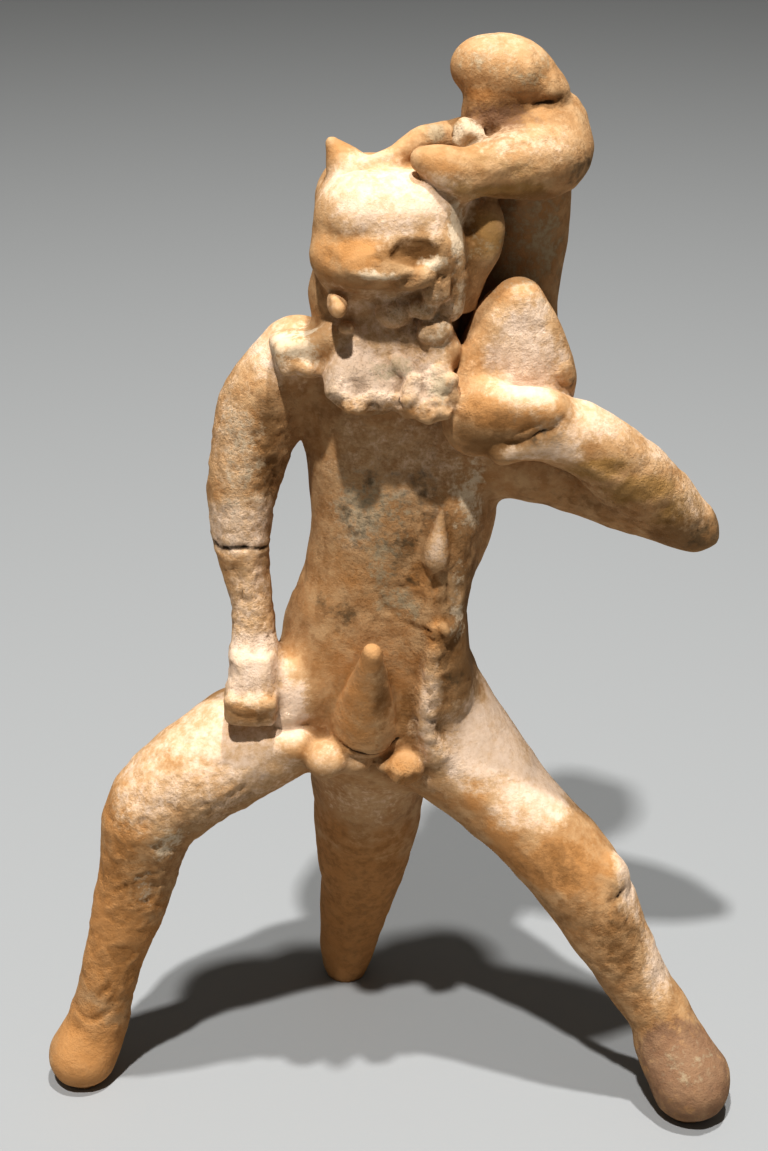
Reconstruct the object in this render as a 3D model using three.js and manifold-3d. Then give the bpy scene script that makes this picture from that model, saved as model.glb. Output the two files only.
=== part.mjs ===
// A small hand-modelled terracotta statuette, solid clay fired in one piece, 141 mm tall.
// A bearded satyr stands with his legs spread, propped from behind by a thick tail that
// reaches the ground as a third foot. His right hand rests on his thigh. His left arm is
// folded, and its open hand holds up a small figure that sits on his left shoulder and
// throws both arms round his head.
//
// Everything is pinched and rolled clay, so the form is one field of signed distance: rolls,
// eggs and blocks of clay, each pressed into the rest with its own softness. The field is cut
// into tetrahedra to find its surface, thinned to a few thousand facets, and cut flat at the
// ground. Millimetres, +Z up, the satyr faces -Y, and his right hand is on the -X side.
// The origin is at the middle of the outline's box, on the ground.

import * as THREE from "three";
import { mergeVertices } from "three/addons/utils/BufferGeometryUtils.js";
import Module from "manifold-3d";

// Driving dimensions. Each lump below has its own place and size in the same millimetres.
const TRUNK_DEPTH = 0.68; // depth of the trunk as a share of its width
const PRESSED = 2.6; // width over which two lumps run into each other
const JOINED = 1.9;
const TOUCHING = 1.2;
const LOW = [-50, -24, -3]; // the box that holds all the clay
const HIGH = [50, 24, 145];
const CLAY_COLOUR = 0xc99a6b;

// How finely the surface is found and kept
const GRID_STEP = 1.1;
const BLOCK = 4; // grid steps a side, where the field is first tried for clay
const FACETS = 9600;
const EVENING_ROUNDS = 4;

// Signed distance of a roll that tapers from one ball to the next, [x, y, z, radius] each.
// depth squeezes the roll front to back about the plane of its first ball.
function roll(balls, depth = 1) {
  const middle = balls[0][1];
  const joints = balls.map(([x, y, z, r]) => [x, middle + (y - middle) / depth, z, r]);
  return (x, y, z) => {
    const deep = middle + (y - middle) / depth;
    let nearest = Infinity;
    for (let i = 1; i < joints.length; i++) {
      const [ax, ay, az, ar] = joints[i - 1];
      const [bx, by, bz, br] = joints[i];
      const ux = bx - ax;
      const uy = by - ay;
      const uz = bz - az;
      const px = x - ax;
      const py = deep - ay;
      const pz = z - az;
      const along = (px * ux + py * uy + pz * uz) / (ux * ux + uy * uy + uz * uz);
      const t = Math.min(1, Math.max(0, along));
      const gap = Math.hypot(px - t * ux, py - t * uy, pz - t * uz) - (ar + t * (br - ar));
      nearest = Math.min(nearest, gap);
    }
    return nearest * (depth + 1) / 2;
  };
}

// Signed distance of an egg of clay: its centre, its three half-sizes, and its turn in degrees.
function pat([cx, cy, cz], [rx, ry, rz], turn = [0, 0, 0]) {
  const m = new THREE.Matrix4().makeRotationFromEuler(
    new THREE.Euler(...turn.map(THREE.MathUtils.degToRad)),
  ).elements;
  return (x, y, z) => {
    const px = x - cx;
    const py = y - cy;
    const pz = z - cz;
    const qx = (m[0] * px + m[1] * py + m[2] * pz) / rx;
    const qy = (m[4] * px + m[5] * py + m[6] * pz) / ry;
    const qz = (m[8] * px + m[9] * py + m[10] * pz) / rz;
    const size = Math.hypot(qx, qy, qz);
    return size * (size - 1) / Math.max(Math.hypot(qx / rx, qy / ry, qz / rz), 1e-6);
  };
}

// Signed distance of a block with round edges: its centre, half-sizes, edge radius and turn.
function block([cx, cy, cz], [hx, hy, hz], edge, turn = [0, 0, 0]) {
  const m = new THREE.Matrix4().makeRotationFromEuler(
    new THREE.Euler(...turn.map(THREE.MathUtils.degToRad)),
  ).elements;
  return (x, y, z) => {
    const px = x - cx;
    const py = y - cy;
    const pz = z - cz;
    const qx = Math.abs(m[0] * px + m[1] * py + m[2] * pz) - hx + edge;
    const qy = Math.abs(m[4] * px + m[5] * py + m[6] * pz) - hy + edge;
    const qz = Math.abs(m[8] * px + m[9] * py + m[10] * pz) - hz + edge;
    const outside = Math.hypot(Math.max(qx, 0), Math.max(qy, 0), Math.max(qz, 0));
    return outside + Math.min(Math.max(qx, qy, qz), 0) - edge;
  };
}

// The satyr's trunk, from the hips up to the neck, with an edge down the left of the belly
const trunk = [
  [roll([
    [-0.9, 0.5, 56, 12.4],
    [-1.2, 0.5, 65, 11.9],
    [0, 0.5, 72, 10.5],
    [2, 1, 80, 11.2],
    [2.4, 1.5, 87, 11.7],
    [1, 1.5, 97, 11.0],
  ], TRUNK_DEPTH), 0],
  [roll([[1, 2, 98, 7], [1, -0.5, 112, 7]]), PRESSED],
  [pat([-7, 5.5, 52], [7, 5.2, 7.5]), PRESSED],
  [pat([4.5, 5.5, 52], [7, 5.2, 7.5]), PRESSED],
  [roll([
    [8.2, -3.2, 88, 3.2],
    [7.4, -4.2, 79, 3.6],
    [6.8, -4.6, 70, 3.6],
    [7, -4.2, 60, 4.2],
  ]), PRESSED],
  [pat([-11.4, -3.6, 60], [4.6, 4.4, 5.4]), PRESSED],
  [roll([[6.8, -7.4, 86, 0.7], [6.7, -7.9, 81, 1.5]]), TOUCHING],
  [pat([7.3, -7.6, 70.5], [2.1, 1.7, 1.9]), TOUCHING],
  [roll([[6.2, -7.6, 67, 1.3], [5.4, -7.6, 58, 1.4]]), JOINED],
];

// Two spread legs that end in plain rounded feet, and the tail that props them
const rightLeg = [
  [roll([
    [-11.6, -5.4, 52.6, 3.6],
    [-18.9, -3.4, 50.1, 7.0],
    [-29.7, -5.6, 43.3, 6.6],
    [-33.8, -6, 30.1, 5.0],
    [-37.1, -6.5, 19, 4.1],
    [-39.2, -6.8, 10.9, 3.9],
  ]), TOUCHING],
  [roll([[-8, 2.5, 52.5, 7.2], [-18.9, -1, 50.6, 7.0]]), PRESSED],
  [roll([[-39.6, -6.6, 8.5, 4.2], [-42, -8, 4, 4.6]]), JOINED],
];
const leftLeg = [
  [roll([
    [6.1, 0.5, 51, 8.0],
    [17, -4, 42.1, 6.4],
    [25, -7, 34.3, 6.1],
    [30.6, -9, 24.5, 5.0],
    [34.2, -10, 17.8, 4.3],
    [37.3, -11, 13.5, 4.2],
  ]), PRESSED],
  [roll([[8.2, 0.5, 58, 4.2], [14, -2, 47, 5]]), PRESSED],
  [roll([[38.6, -12.2, 10, 4.8], [41.4, -14.8, 5.1, 5.6]]), JOINED],
];
const tail = [
  [roll([
    [-2, 4, 48, 8.5],
    [-2.3, 8, 37.1, 7.8],
    [-2.9, 11, 25.2, 6.5],
    [-4, 13.5, 16.5, 5.3],
    [-5.4, 15.5, 6.1, 4.3],
    [-5.8, 16, 2.4, 3.6],
  ]), PRESSED],
];

// The right arm hangs down, and its hand rests on the thigh
const rightArm = [
  [roll([
    [-10.5, 1.8, 102.5, 5.2],
    [-14.9, 1.2, 97, 5.3],
    [-17.3, 0, 88.5, 4.7],
    [-18, -1, 82.2, 3.9],
    [-17.9, -1.8, 79.2, 3.6],
    [-17.2, -2.8, 74.8, 3.1],
    [-16.6, -4, 69.8, 2.7],
    [-16.5, -5.2, 66, 2.8],
  ]), PRESSED],
  [block([-16.7, -6.4, 63.2], [3.1, 2.7, 3.4], 1.6, [14, 0, 0]), TOUCHING],
  [block([-16.8, -8.2, 59.6], [3.4, 2.5, 2.4], 1.3, [14, 3, 0]), TOUCHING],
];

// The left arm goes out to the elbow and folds back to the hand under the seated figure
const leftArm = [
  [roll([
    [9.5, 1.5, 93.6, 7.2],
    [21.7, 0.2, 90.1, 6.3],
    [31.6, -2, 86.4, 5.3],
    [38.8, -3.2, 81.7, 2.7],
  ]), PRESSED],
  [roll([
    [38.2, -4, 82.4, 2.7],
    [31, -6, 89.2, 4.6],
    [24.3, -8.2, 95.2, 4.2],
    [18.6, -8.8, 97.6, 3.9],
  ]), JOINED],
  [pat([11.6, -8.4, 98.2], [4.4, 3.4, 4.9], [0, 20, 0]), TOUCHING],
  [block([15.2, -10.6, 100.3], [5.7, 2.3, 2.5], 1.7, [-6, 0, 0]), TOUCHING],
  [roll([[19.6, -10.8, 98.4, 1.5], [14.4, -11.4, 96.4, 1.7]]), TOUCHING],
];

// The satyr's big square head, turned to his right, with the brow hanging over the face
const head = [
  [block([0.3, -1.3, 120.2], [8.4, 9.4, 7.7], 5.6, [5, 2, 0]), JOINED],
  [pat([0, -2, 110.6], [8.9, 7.8, 9]), PRESSED],
  [roll([
    [-6.2, -8.2, 117.8, 1.6],
    [-2.6, -10.6, 117.5, 1.9],
    [2.4, -10.4, 117.8, 1.9],
    [7, -7.2, 118.6, 1.5],
  ]), PRESSED],
  [roll([[-4.8, -9.8, 115.4, 1.0], [-5.5, -12.6, 113.7, 1.35]]), TOUCHING],
  [pat([1.8, -8, 111.6], [3.4, 2.6, 2.8]), JOINED],
  [roll([[-5.6, -9, 110.4, 0.9], [-2.4, -9.8, 110, 0.9]]), JOINED],
  [pat([8.6, -2.4, 124.6], [2.6, 4, 3.4]), PRESSED],
];
const ears = [
  [roll([[-4.4, -2.4, 126.2, 2.9], [-6, -2.6, 129.9, 1.1]]), TOUCHING],
  [pat([10.9, -4.4, 118.6], [3.4, 1.7, 5.8], [0, 14, -12]), TOUCHING],
];
const beard = [
  [pat([-4.7, -8.6, 104.3], [3.4, 3.8, 3.9]), JOINED],
  [pat([-1.2, -9.4, 103.7], [3.6, 3.6, 4.1], [0, 12, 0]), JOINED],
  [pat([2.2, -9.2, 105.2], [3.4, 3.4, 3.8]), JOINED],
  [pat([5.2, -9.2, 103], [3.2, 3.5, 4.6]), JOINED],
  [pat([6.2, -7.4, 107.4], [3, 2.6, 3]), JOINED],
  [pat([-10, -4.8, 105.2], [3.4, 3.6, 3]), JOINED],
];

// The seated figure: trunk, head, and the arms round the satyr's head
const rider = [
  [roll([
    [16.6, 4.5, 127, 5.4],
    [16.6, 5.2, 119.5, 5.6],
    [15.6, 5.2, 112, 6.0],
    [14, 3.6, 102.5, 6.6],
  ]), PRESSED],
  [pat([13.5, 2.4, 136.9], [5.9, 5.2, 4.1], [0, 4, 0]), TOUCHING],
  [roll([[12.2, 1.2, 134.2, 3.6], [12.8, 2.4, 127, 4.4]]), TOUCHING],
  [pat([19.2, 3.8, 135.2], [2.8, 3.4, 3.3]), JOINED],
  [roll([
    [20.1, 3.6, 129.4, 4.5],
    [20.4, 1, 126.8, 3.7],
    [16, -3, 127.2, 3.5],
    [11, -6.4, 127.5, 2.8],
    [7.4, -7.8, 128.2, 2.2],
    [4.6, -8, 128.8, 1.5],
  ]), TOUCHING],
  [roll([
    [12.5, 5.5, 128.5, 2.8],
    [7.5, 2.8, 129.4, 2.0],
    [4.7, 0.2, 129.3, 1.7],
    [0.2, -2.2, 128, 1.4],
    [-4.2, -3.2, 127.4, 1.2],
  ]), TOUCHING],
  [pat([9.3, -2, 130.3], [1.8, 1.8, 1.8]), TOUCHING],
];

// The seated figure's drawn-up legs under their wrap, spreading down to the satyr's hand
const lap = [
  [roll([
    [15.5, -5.4, 111.6, 2.5],
    [14.9, -4, 106.4, 5.2],
    [15.2, -3, 101, 7.7],
  ], TRUNK_DEPTH), JOINED],
  [roll([[15.6, 4, 106, 5.4], [15.2, -2, 106.5, 4.4]]), JOINED],
  [roll([[17.3, -5.4, 109.4, 2], [19.3, -4.4, 103, 3.4]]), JOINED],
];

// The male parts, plain as the maker left them
const loins = [
  [roll([
    [-2.5, -6, 55.6, 4.2],
    [-1.9, -9.4, 62.6, 3.0],
    [-1.5, -12, 69.2, 1.3],
  ]), TOUCHING],
  [roll([[-5.5, -4.6, 50, 2.4], [1.5, -4.6, 48.4, 2.2]]), TOUCHING],
  [pat([-7.2, -7.4, 51.8], [2.8, 2.7, 2.7]), TOUCHING],
  [pat([2.5, -7.2, 49], [2.4, 2.4, 2.4]), TOUCHING],
];

const clay = [
  trunk, rightLeg, leftLeg, tail, rightArm, leftArm, head, beard, ears, rider, lap, loins,
].flat();

// Signed distance of all the clay. The softness is the width over which a lump is blended in.
function claySurface(x, y, z) {
  let all = Infinity;
  for (const [lump, softness] of clay) {
    const one = lump(x, y, z);
    const overlap = Math.max(softness - Math.abs(all - one), 0);
    all = Math.min(all, one) - (softness ? (overlap * overlap) / (4 * softness) : 0);
  }
  return all;
}

// The surface of a field, by cutting each cell of a grid into six tetrahedra. No point comes
// nearer to a grid node than the share EDGE of a step.
const EDGE = 0.02;
function surfaceOf(field, low, high, step) {
  const [nx, ny, nz] = low.map((v, i) => Math.ceil((high[i] - v) / step) + 1);
  const place = (n) => [
    low[0] + step * (n % nx),
    low[1] + step * (Math.floor(n / nx) % ny),
    low[2] + step * Math.floor(n / (nx * ny)),
  ];
  const values = new Float64Array(nx * ny * nz);
  const reach = BLOCK * step * 1.5; // well beyond the farthest node of a block
  for (let k = 0; k < nz; k += BLOCK)
    for (let j = 0; j < ny; j += BLOCK)
      for (let i = 0; i < nx; i += BLOCK) {
        const [x, y, z] = place(i + nx * (j + ny * k)).map((v) => v + (BLOCK * step) / 2);
        const rough = field(x, y, z);
        for (let c = k; c < Math.min(k + BLOCK, nz); c++)
          for (let b = j; b < Math.min(j + BLOCK, ny); b++)
            for (let a = i; a < Math.min(i + BLOCK, nx); a++) {
              const n = a + nx * (b + ny * c);
              values[n] = Math.abs(rough) > reach ? rough : field(...place(n)) || 1e-9;
            }
      }

  const points = [];
  const crossings = new Map();
  const crossing = (a, b) => {
    const key = Math.min(a, b) * values.length + Math.max(a, b);
    if (!crossings.has(key)) {
      const share = THREE.MathUtils.clamp(values[a] / (values[a] - values[b]), EDGE, 1 - EDGE);
      const [pa, pb] = a < b ? [place(a), place(b)] : [place(b), place(a)];
      const t = a < b ? share : 1 - share;
      crossings.set(key, points.length);
      points.push(pa.map((v, i) => v + t * (pb[i] - v)));
    }
    return crossings.get(key);
  };

  const faces = [];
  const cutTetrahedron = (corners) => {
    const inside = corners.filter((n) => values[n] < 0);
    const outside = corners.filter((n) => values[n] > 0);
    if (!inside.length || !outside.length) return;
    let ring;
    if (inside.length === 2) {
      const [a, b] = inside;
      const [c, d] = outside;
      ring = [crossing(a, c), crossing(a, d), crossing(b, d), crossing(b, c)];
    } else {
      const [lone, others] = inside.length === 1 ? [inside[0], outside] : [outside[0], inside];
      ring = others.map((n) => crossing(lone, n));
    }
    const [p, q, r] = ring.map((n) => new THREE.Vector3(...points[n]));
    const facing = new THREE.Vector3().crossVectors(q.sub(p), r.sub(p));
    const outward = new THREE.Vector3(...place(outside[0])).sub(
      new THREE.Vector3(...place(inside[0])),
    );
    if (facing.dot(outward) < 0) ring.reverse();
    faces.push([ring[0], ring[1], ring[2]]);
    if (ring.length === 4) faces.push([ring[0], ring[2], ring[3]]);
  };

  const up = [1, nx, nx * ny];
  const orders = [[0, 1, 2], [0, 2, 1], [1, 0, 2], [1, 2, 0], [2, 0, 1], [2, 1, 0]];
  for (let k = 0; k < nz - 1; k++)
    for (let j = 0; j < ny - 1; j++)
      for (let i = 0; i < nx - 1; i++) {
        const n = i + nx * (j + ny * k);
        for (const [a, b, c] of orders)
          cutTetrahedron([n, n + up[a], n + up[a] + up[b], n + up[a] + up[b] + up[c]]);
      }
  return { points, faces };
}

// Thins a closed mesh to a number of faces, by merging the pair of neighbours that moves the
// surface least, again and again. A pair is kept apart where merging would fold a face over
// or pinch the surface.
const PULL_TO_MIDDLE = 1e-3; // how firmly a merged point keeps to the middle of its pair
const COST_OF_LENGTH = 1e-4; // makes short pairs merge first where the surface is flat
const LEAST_TURN = 0.3; // cosine of the most that a merge may turn a face
function thin({ points, faces }, wanted) {
  const around = points.map(() => new Set());
  faces.forEach((f, i) => f.forEach((n) => around[n].add(i)));

  const normalOf = (a, b, c) => {
    const [ux, uy, uz] = [b[0] - a[0], b[1] - a[1], b[2] - a[2]];
    const [vx, vy, vz] = [c[0] - a[0], c[1] - a[1], c[2] - a[2]];
    return [uy * vz - uz * vy, uz * vx - ux * vz, ux * vy - uy * vx];
  };

  // The squared distance to the planes of the faces around a point, as ten sums
  const errors = points.map(() => new Float64Array(10));
  for (const f of faces) {
    const [a, b, c] = f.map((n) => points[n]);
    const [nx, ny, nz] = normalOf(a, b, c);
    const area = Math.hypot(nx, ny, nz);
    if (area < 1e-12) continue;
    const plane = [nx / area, ny / area, nz / area];
    plane.push(-(plane[0] * a[0] + plane[1] * a[1] + plane[2] * a[2]));
    let k = 0;
    for (let i = 0; i < 4; i++)
      for (let j = i; j < 4; j++, k++)
        for (const n of f) errors[n][k] += area * plane[i] * plane[j];
  }
  const errorAt = (q, [x, y, z]) =>
    q[0] * x * x + 2 * q[1] * x * y + 2 * q[2] * x * z + 2 * q[3] * x +
    q[4] * y * y + 2 * q[5] * y * z + 2 * q[6] * y +
    q[7] * z * z + 2 * q[8] * z + q[9];

  // The best place for a merged point: where the planes meet, if that is near the pair
  const bestPlace = (q, a, b) => {
    const middle = a.map((v, i) => (v + b[i]) / 2);
    const size = Math.hypot(a[0] - b[0], a[1] - b[1], a[2] - b[2]);
    const hold = PULL_TO_MIDDLE * (q[0] + q[4] + q[7]);
    const m = new THREE.Matrix3().set(
      q[0] + hold, q[1], q[2], q[1], q[4] + hold, q[5], q[2], q[5], q[7] + hold,
    );
    const right = new THREE.Vector3(
      hold * middle[0] - q[3], hold * middle[1] - q[6], hold * middle[2] - q[8],
    );
    const best = right.applyMatrix3(m.invert()).toArray();
    const far = Math.hypot(...best.map((v, i) => v - middle[i]));
    return far < size ? best : middle;
  };

  // A heap of pairs, cheapest first
  const heap = [];
  const swap = (i, j) => ([heap[i], heap[j]] = [heap[j], heap[i]]);
  const push = (pair) => {
    let i = heap.push(pair) - 1;
    while (i && heap[(i - 1) >> 1].cost > heap[i].cost) {
      const parent = (i - 1) >> 1;
      swap(i, parent);
      i = parent;
    }
  };
  const pop = () => {
    swap(0, heap.length - 1);
    const least = heap.pop();
    for (let i = 0; ;) {
      let small = i;
      for (const child of [2 * i + 1, 2 * i + 2])
        if (child < heap.length && heap[child].cost < heap[small].cost) small = child;
      if (small === i) return least;
      swap(i, small);
      i = small;
    }
  };

  const age = new Uint32Array(points.length);
  const gone = new Uint8Array(points.length);
  const neighbours = (n) => {
    const found = new Set();
    for (const f of around[n]) for (const m of faces[f]) if (m !== n) found.add(m);
    return found;
  };
  const consider = (a, b) => {
    const q = errors[a].map((v, i) => v + errors[b][i]);
    const to = bestPlace(q, points[a], points[b]);
    const length = Math.hypot(...points[a].map((v, i) => v - points[b][i]));
    const cost = errorAt(q, to) + COST_OF_LENGTH * length * length;
    push({ a, b, to, cost, age: age[a] + age[b] });
  };
  const folds = (n, other, to) => {
    for (const f of around[n]) {
      if (faces[f].includes(other)) continue;
      const before = normalOf(...faces[f].map((m) => points[m]));
      const after = normalOf(...faces[f].map((m) => (m === n ? to : points[m])));
      const sizes = Math.hypot(...before) * Math.hypot(...after);
      const turn = before[0] * after[0] + before[1] * after[1] + before[2] * after[2];
      if (sizes > 0 ? turn < LEAST_TURN * sizes : Math.hypot(...after) === 0) return true;
    }
    return false;
  };

  points.forEach((_, n) => neighbours(n).forEach((m) => n < m && consider(n, m)));
  let left = faces.length;
  while (left > wanted && heap.length) {
    const { a, b, to, age: made } = pop();
    if (gone[a] || gone[b] || age[a] + age[b] !== made) continue;
    const near = neighbours(b);
    if (!near.has(a)) continue;
    const shared = [...neighbours(a)].filter((n) => near.has(n));
    if (shared.length !== 2 || folds(a, b, to) || folds(b, a, to)) continue;
    points[a] = to;
    errors[a] = errors[a].map((v, i) => v + errors[b][i]);
    gone[b] = 1;
    age[a]++;
    for (const f of around[b]) {
      if (faces[f].includes(a)) {
        faces[f].forEach((n) => around[n].delete(f));
        faces[f] = null;
        left--;
      } else {
        faces[f] = faces[f].map((n) => (n === b ? a : n));
        around[a].add(f);
      }
    }
    neighbours(a).forEach((n) => consider(a, n));
  }
  return { points, faces: faces.filter(Boolean) };
}

// Evens out a thinned mesh: each point slides toward the middle of its neighbours and is put
// back on the surface of the field.
const SLIDE = 0.5; // share of the way to the middle that a point goes in one round
const SLOPE_STEP = 0.05; // half the distance over which the field's slope is measured
const MOST_FALL = 0.3; // farthest that a point is moved onto the surface in one round
const LEAST_STEEPNESS = 0.1;
function evenOut({ points, faces }, field, rounds) {
  const near = new Map();
  for (const f of faces)
    f.forEach((n, i) => {
      if (!near.has(n)) near.set(n, new Set());
      near.get(n).add(f[(i + 1) % 3]);
    });
  const h = SLOPE_STEP;
  const slopeAt = ([x, y, z]) => [
    (field(x + h, y, z) - field(x - h, y, z)) / (2 * h),
    (field(x, y + h, z) - field(x, y - h, z)) / (2 * h),
    (field(x, y, z + h) - field(x, y, z - h)) / (2 * h),
  ];
  for (let round = 0; round < rounds; round++)
    for (const [n, ring] of near) {
      const p = points[n];
      const slope = slopeAt(p);
      const steep = Math.max(slope[0] ** 2 + slope[1] ** 2 + slope[2] ** 2, LEAST_STEEPNESS);
      const middle = [0, 1, 2].map((i) => {
        let sum = 0;
        for (const m of ring) sum += points[m][i];
        return sum / ring.size;
      });
      const slide = middle.map((v, i) => SLIDE * (v - p[i]));
      const rise = slide.reduce((sum, v, i) => sum + v * slope[i], 0) / steep;
      const fall = THREE.MathUtils.clamp(field(...p) / steep, -MOST_FALL, MOST_FALL);
      points[n] = p.map((v, i) => v + slide[i] - (rise + fall) * slope[i]);
    }
  return { points, faces };
}

const wasm = await Module();
wasm.setup();

// A closed three.js geometry as a solid that can be cut
function solidOf(geometry) {
  const bare = geometry.clone();
  bare.deleteAttribute("normal");
  bare.deleteAttribute("uv");
  const merged = mergeVertices(bare);
  return new wasm.Manifold(new wasm.Mesh({
    numProp: 3,
    vertProperties: merged.attributes.position.array,
    triVerts: new Uint32Array(merged.index.array),
  }));
}

function geometryOf(solid) {
  const { vertProperties, triVerts } = solid.getMesh();
  return new THREE.BufferGeometry()
    .setAttribute("position", new THREE.BufferAttribute(vertProperties, 3))
    .setIndex(new THREE.BufferAttribute(triVerts, 1));
}

// The clay, from field to cut solid
const thinned = thin(surfaceOf(claySurface, LOW, HIGH, GRID_STEP), FACETS);
const { points, faces } = evenOut(thinned, claySurface, EVENING_ROUNDS);
const modelled = new THREE.BufferGeometry()
  .setAttribute("position", new THREE.Float32BufferAttribute(points.flat(), 3))
  .setIndex(faces.flat());

// Where the feet and the tail end stood to dry, the clay is flat
const GROUND = { width: 120, depth: 20 };
const ground = new THREE.BoxGeometry(GROUND.width, GROUND.width, GROUND.depth)
  .translate(0, 0, -GROUND.depth / 2);
const standing = geometryOf(solidOf(modelled).subtract(solidOf(ground)));

standing.computeBoundingBox();
const middle = standing.boundingBox.getCenter(new THREE.Vector3());
standing.translate(-middle.x, -middle.y, 0);
standing.computeVertexNormals();

const figurine = new THREE.Mesh(
  standing,
  new THREE.MeshStandardMaterial({ color: CLAY_COLOUR, roughness: 0.85, metalness: 0 }),
);
figurine.name = "figurine";

const statuette = new THREE.Group();
statuette.name = "terracotta_statuette";
statuette.add(figurine);

export default statuette;
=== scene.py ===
"""A hand-modelled terracotta figurine: a bearded satyr who carries a small figure.

The script follows the figurine as its maker put it together: rolls, eggs and blocks of clay,
pressed one into the next on the bench, then smoothed, dried, washed with slip and fired.
Sizes are in millimetres on the bench, +Z up, and the satyr faces -Y. The fired piece is set
into the frame in metres.
"""

import math

import bpy
import numpy as np
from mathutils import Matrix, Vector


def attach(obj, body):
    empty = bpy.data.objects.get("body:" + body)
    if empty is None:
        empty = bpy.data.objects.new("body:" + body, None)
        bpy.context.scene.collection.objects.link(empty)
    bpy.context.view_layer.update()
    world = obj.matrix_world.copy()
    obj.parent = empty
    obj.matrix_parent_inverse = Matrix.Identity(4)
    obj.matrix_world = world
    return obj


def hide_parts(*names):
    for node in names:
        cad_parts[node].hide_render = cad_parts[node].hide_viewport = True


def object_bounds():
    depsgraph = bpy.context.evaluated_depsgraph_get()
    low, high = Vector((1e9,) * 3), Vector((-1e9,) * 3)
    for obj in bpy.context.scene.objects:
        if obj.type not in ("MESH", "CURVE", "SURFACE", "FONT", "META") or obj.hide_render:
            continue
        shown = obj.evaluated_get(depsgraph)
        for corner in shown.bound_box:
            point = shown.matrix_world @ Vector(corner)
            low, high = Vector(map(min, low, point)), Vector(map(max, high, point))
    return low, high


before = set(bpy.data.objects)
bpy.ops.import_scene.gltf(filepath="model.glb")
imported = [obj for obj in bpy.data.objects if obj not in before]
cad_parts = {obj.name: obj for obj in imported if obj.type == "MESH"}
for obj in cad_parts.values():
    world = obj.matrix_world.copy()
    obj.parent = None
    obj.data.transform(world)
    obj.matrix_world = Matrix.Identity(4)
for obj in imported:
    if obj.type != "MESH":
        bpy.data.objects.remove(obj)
cad_low, cad_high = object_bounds()

# The view: a short lens close by, a little above the head and looking down, so the legs run
# away below and the feet stand wide apart.
CAMERA_PLACE = (-0.0002, -0.2177, 0.178)
CAMERA_DIP = math.radians(25.5)
LENS = 59.4

camera_lens = bpy.data.cameras.new("camera")
camera_lens.lens = LENS
camera_lens.clip_start = 0.01
camera = bpy.data.objects.new("camera", camera_lens)
camera.location = CAMERA_PLACE
camera.rotation_euler = (math.pi / 2 - CAMERA_DIP, 0, 0)
bpy.context.scene.collection.objects.link(camera)
bpy.context.scene.camera = camera

# The trunk: one fat roll of clay, squeezed front to back, with buttocks pressed on behind and
# an edge left down the front of the left side. The clay is kept as the distance from each
# point of a fine grid to the surface, less than zero inside.
STEP = 0.39
ROOM = ((-50, 50), (-23, 23), (-1.5, 144))
BENCH = [np.arange(low, high, STEP, np.float32) for low, high in ROOM]
FAR = 9.0
PRESSED = 2.6
JOINED = 1.4
TOUCHING = 0.6
TRUNK_DEPTH = 0.68

clay = np.full([len(axis) for axis in BENCH], FAR, np.float32)
washes = []
marks = []
chips = []
strokes = []


def smoothed(line):
    """The points of a line with three more between each two, on a smooth curve."""
    line = np.array(line, float)
    padded = np.vstack([2 * line[0] - line[1], line, 2 * line[-1] - line[-2]])
    fine = []
    for before, start, end, after in zip(padded, padded[1:], padded[2:], padded[3:]):
        for t in (0, 0.25, 0.5, 0.75):
            bend = 2 * before - 5 * start + 4 * end - after
            twist = 3 * start - before - 3 * end + after
            fine.append(start + 0.5 * ((end - before) * t + bend * t**2 + twist * t**3))
    return np.array(fine + [line[-1]])


def roll(balls, depth=1.0):
    """A roll that tapers from ball to ball, (x, y, z, radius), squeezed in depth."""
    balls = smoothed(balls)
    middle = balls[0, 1]
    reach = balls[:, 3].max()
    low = balls[:, :3].min(0) - reach
    high = balls[:, :3].max(0) + reach
    balls[:, 1] = middle + (balls[:, 1] - middle) / depth

    def distance(x, y, z):
        y = middle + (y - middle) / depth
        nearest = np.float32(FAR)
        for ball, after in zip(balls, balls[1:]):
            length = np.linalg.norm(after[:3] - ball[:3])
            way = (after[:3] - ball[:3]) / length
            taper = (ball[3] - after[3]) / length
            lean = min(max(taper, -0.9), 0.9)
            px, py, pz = x - ball[0], y - ball[1], z - ball[2]
            along = px * way[0] + py * way[1] + pz * way[2]
            aside = np.sqrt(np.maximum(px**2 + py**2 + pz**2 - along**2, 0))
            foot = np.clip(along - aside * lean / math.sqrt(1 - lean**2), 0, length)
            off = np.sqrt(aside**2 + (along - foot) ** 2)
            nearest = np.minimum(nearest, off - ball[3] + foot * taper)
        return nearest * (depth + 1) / 2

    return distance, low, high


def turned(turn):
    """The axes of a lump that is turned about X, Y and Z, in degrees."""
    a, b, c = (math.radians(angle) for angle in turn)
    about_x = np.array([[1, 0, 0], [0, math.cos(a), -math.sin(a)], [0, math.sin(a), math.cos(a)]])
    about_y = np.array([[math.cos(b), 0, math.sin(b)], [0, 1, 0], [-math.sin(b), 0, math.cos(b)]])
    about_z = np.array([[math.cos(c), -math.sin(c), 0], [math.sin(c), math.cos(c), 0], [0, 0, 1]])
    return about_x @ about_y @ about_z


def egg(centre, half, turn=(0, 0, 0)):
    """An egg of clay: its centre, its three half-sizes and its turn."""
    axes = turned(turn)

    def distance(x, y, z):
        px, py, pz = x - centre[0], y - centre[1], z - centre[2]
        q = [(px * a[0] + py * a[1] + pz * a[2]) / h for a, h in zip(axes.T, half)]
        size = np.sqrt(q[0] ** 2 + q[1] ** 2 + q[2] ** 2)
        slope = np.sqrt(sum((part / h) ** 2 for part, h in zip(q, half)))
        return size * (size - 1) / np.maximum(slope, 1e-6)

    return distance, np.array(centre) - max(half), np.array(centre) + max(half)


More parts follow.
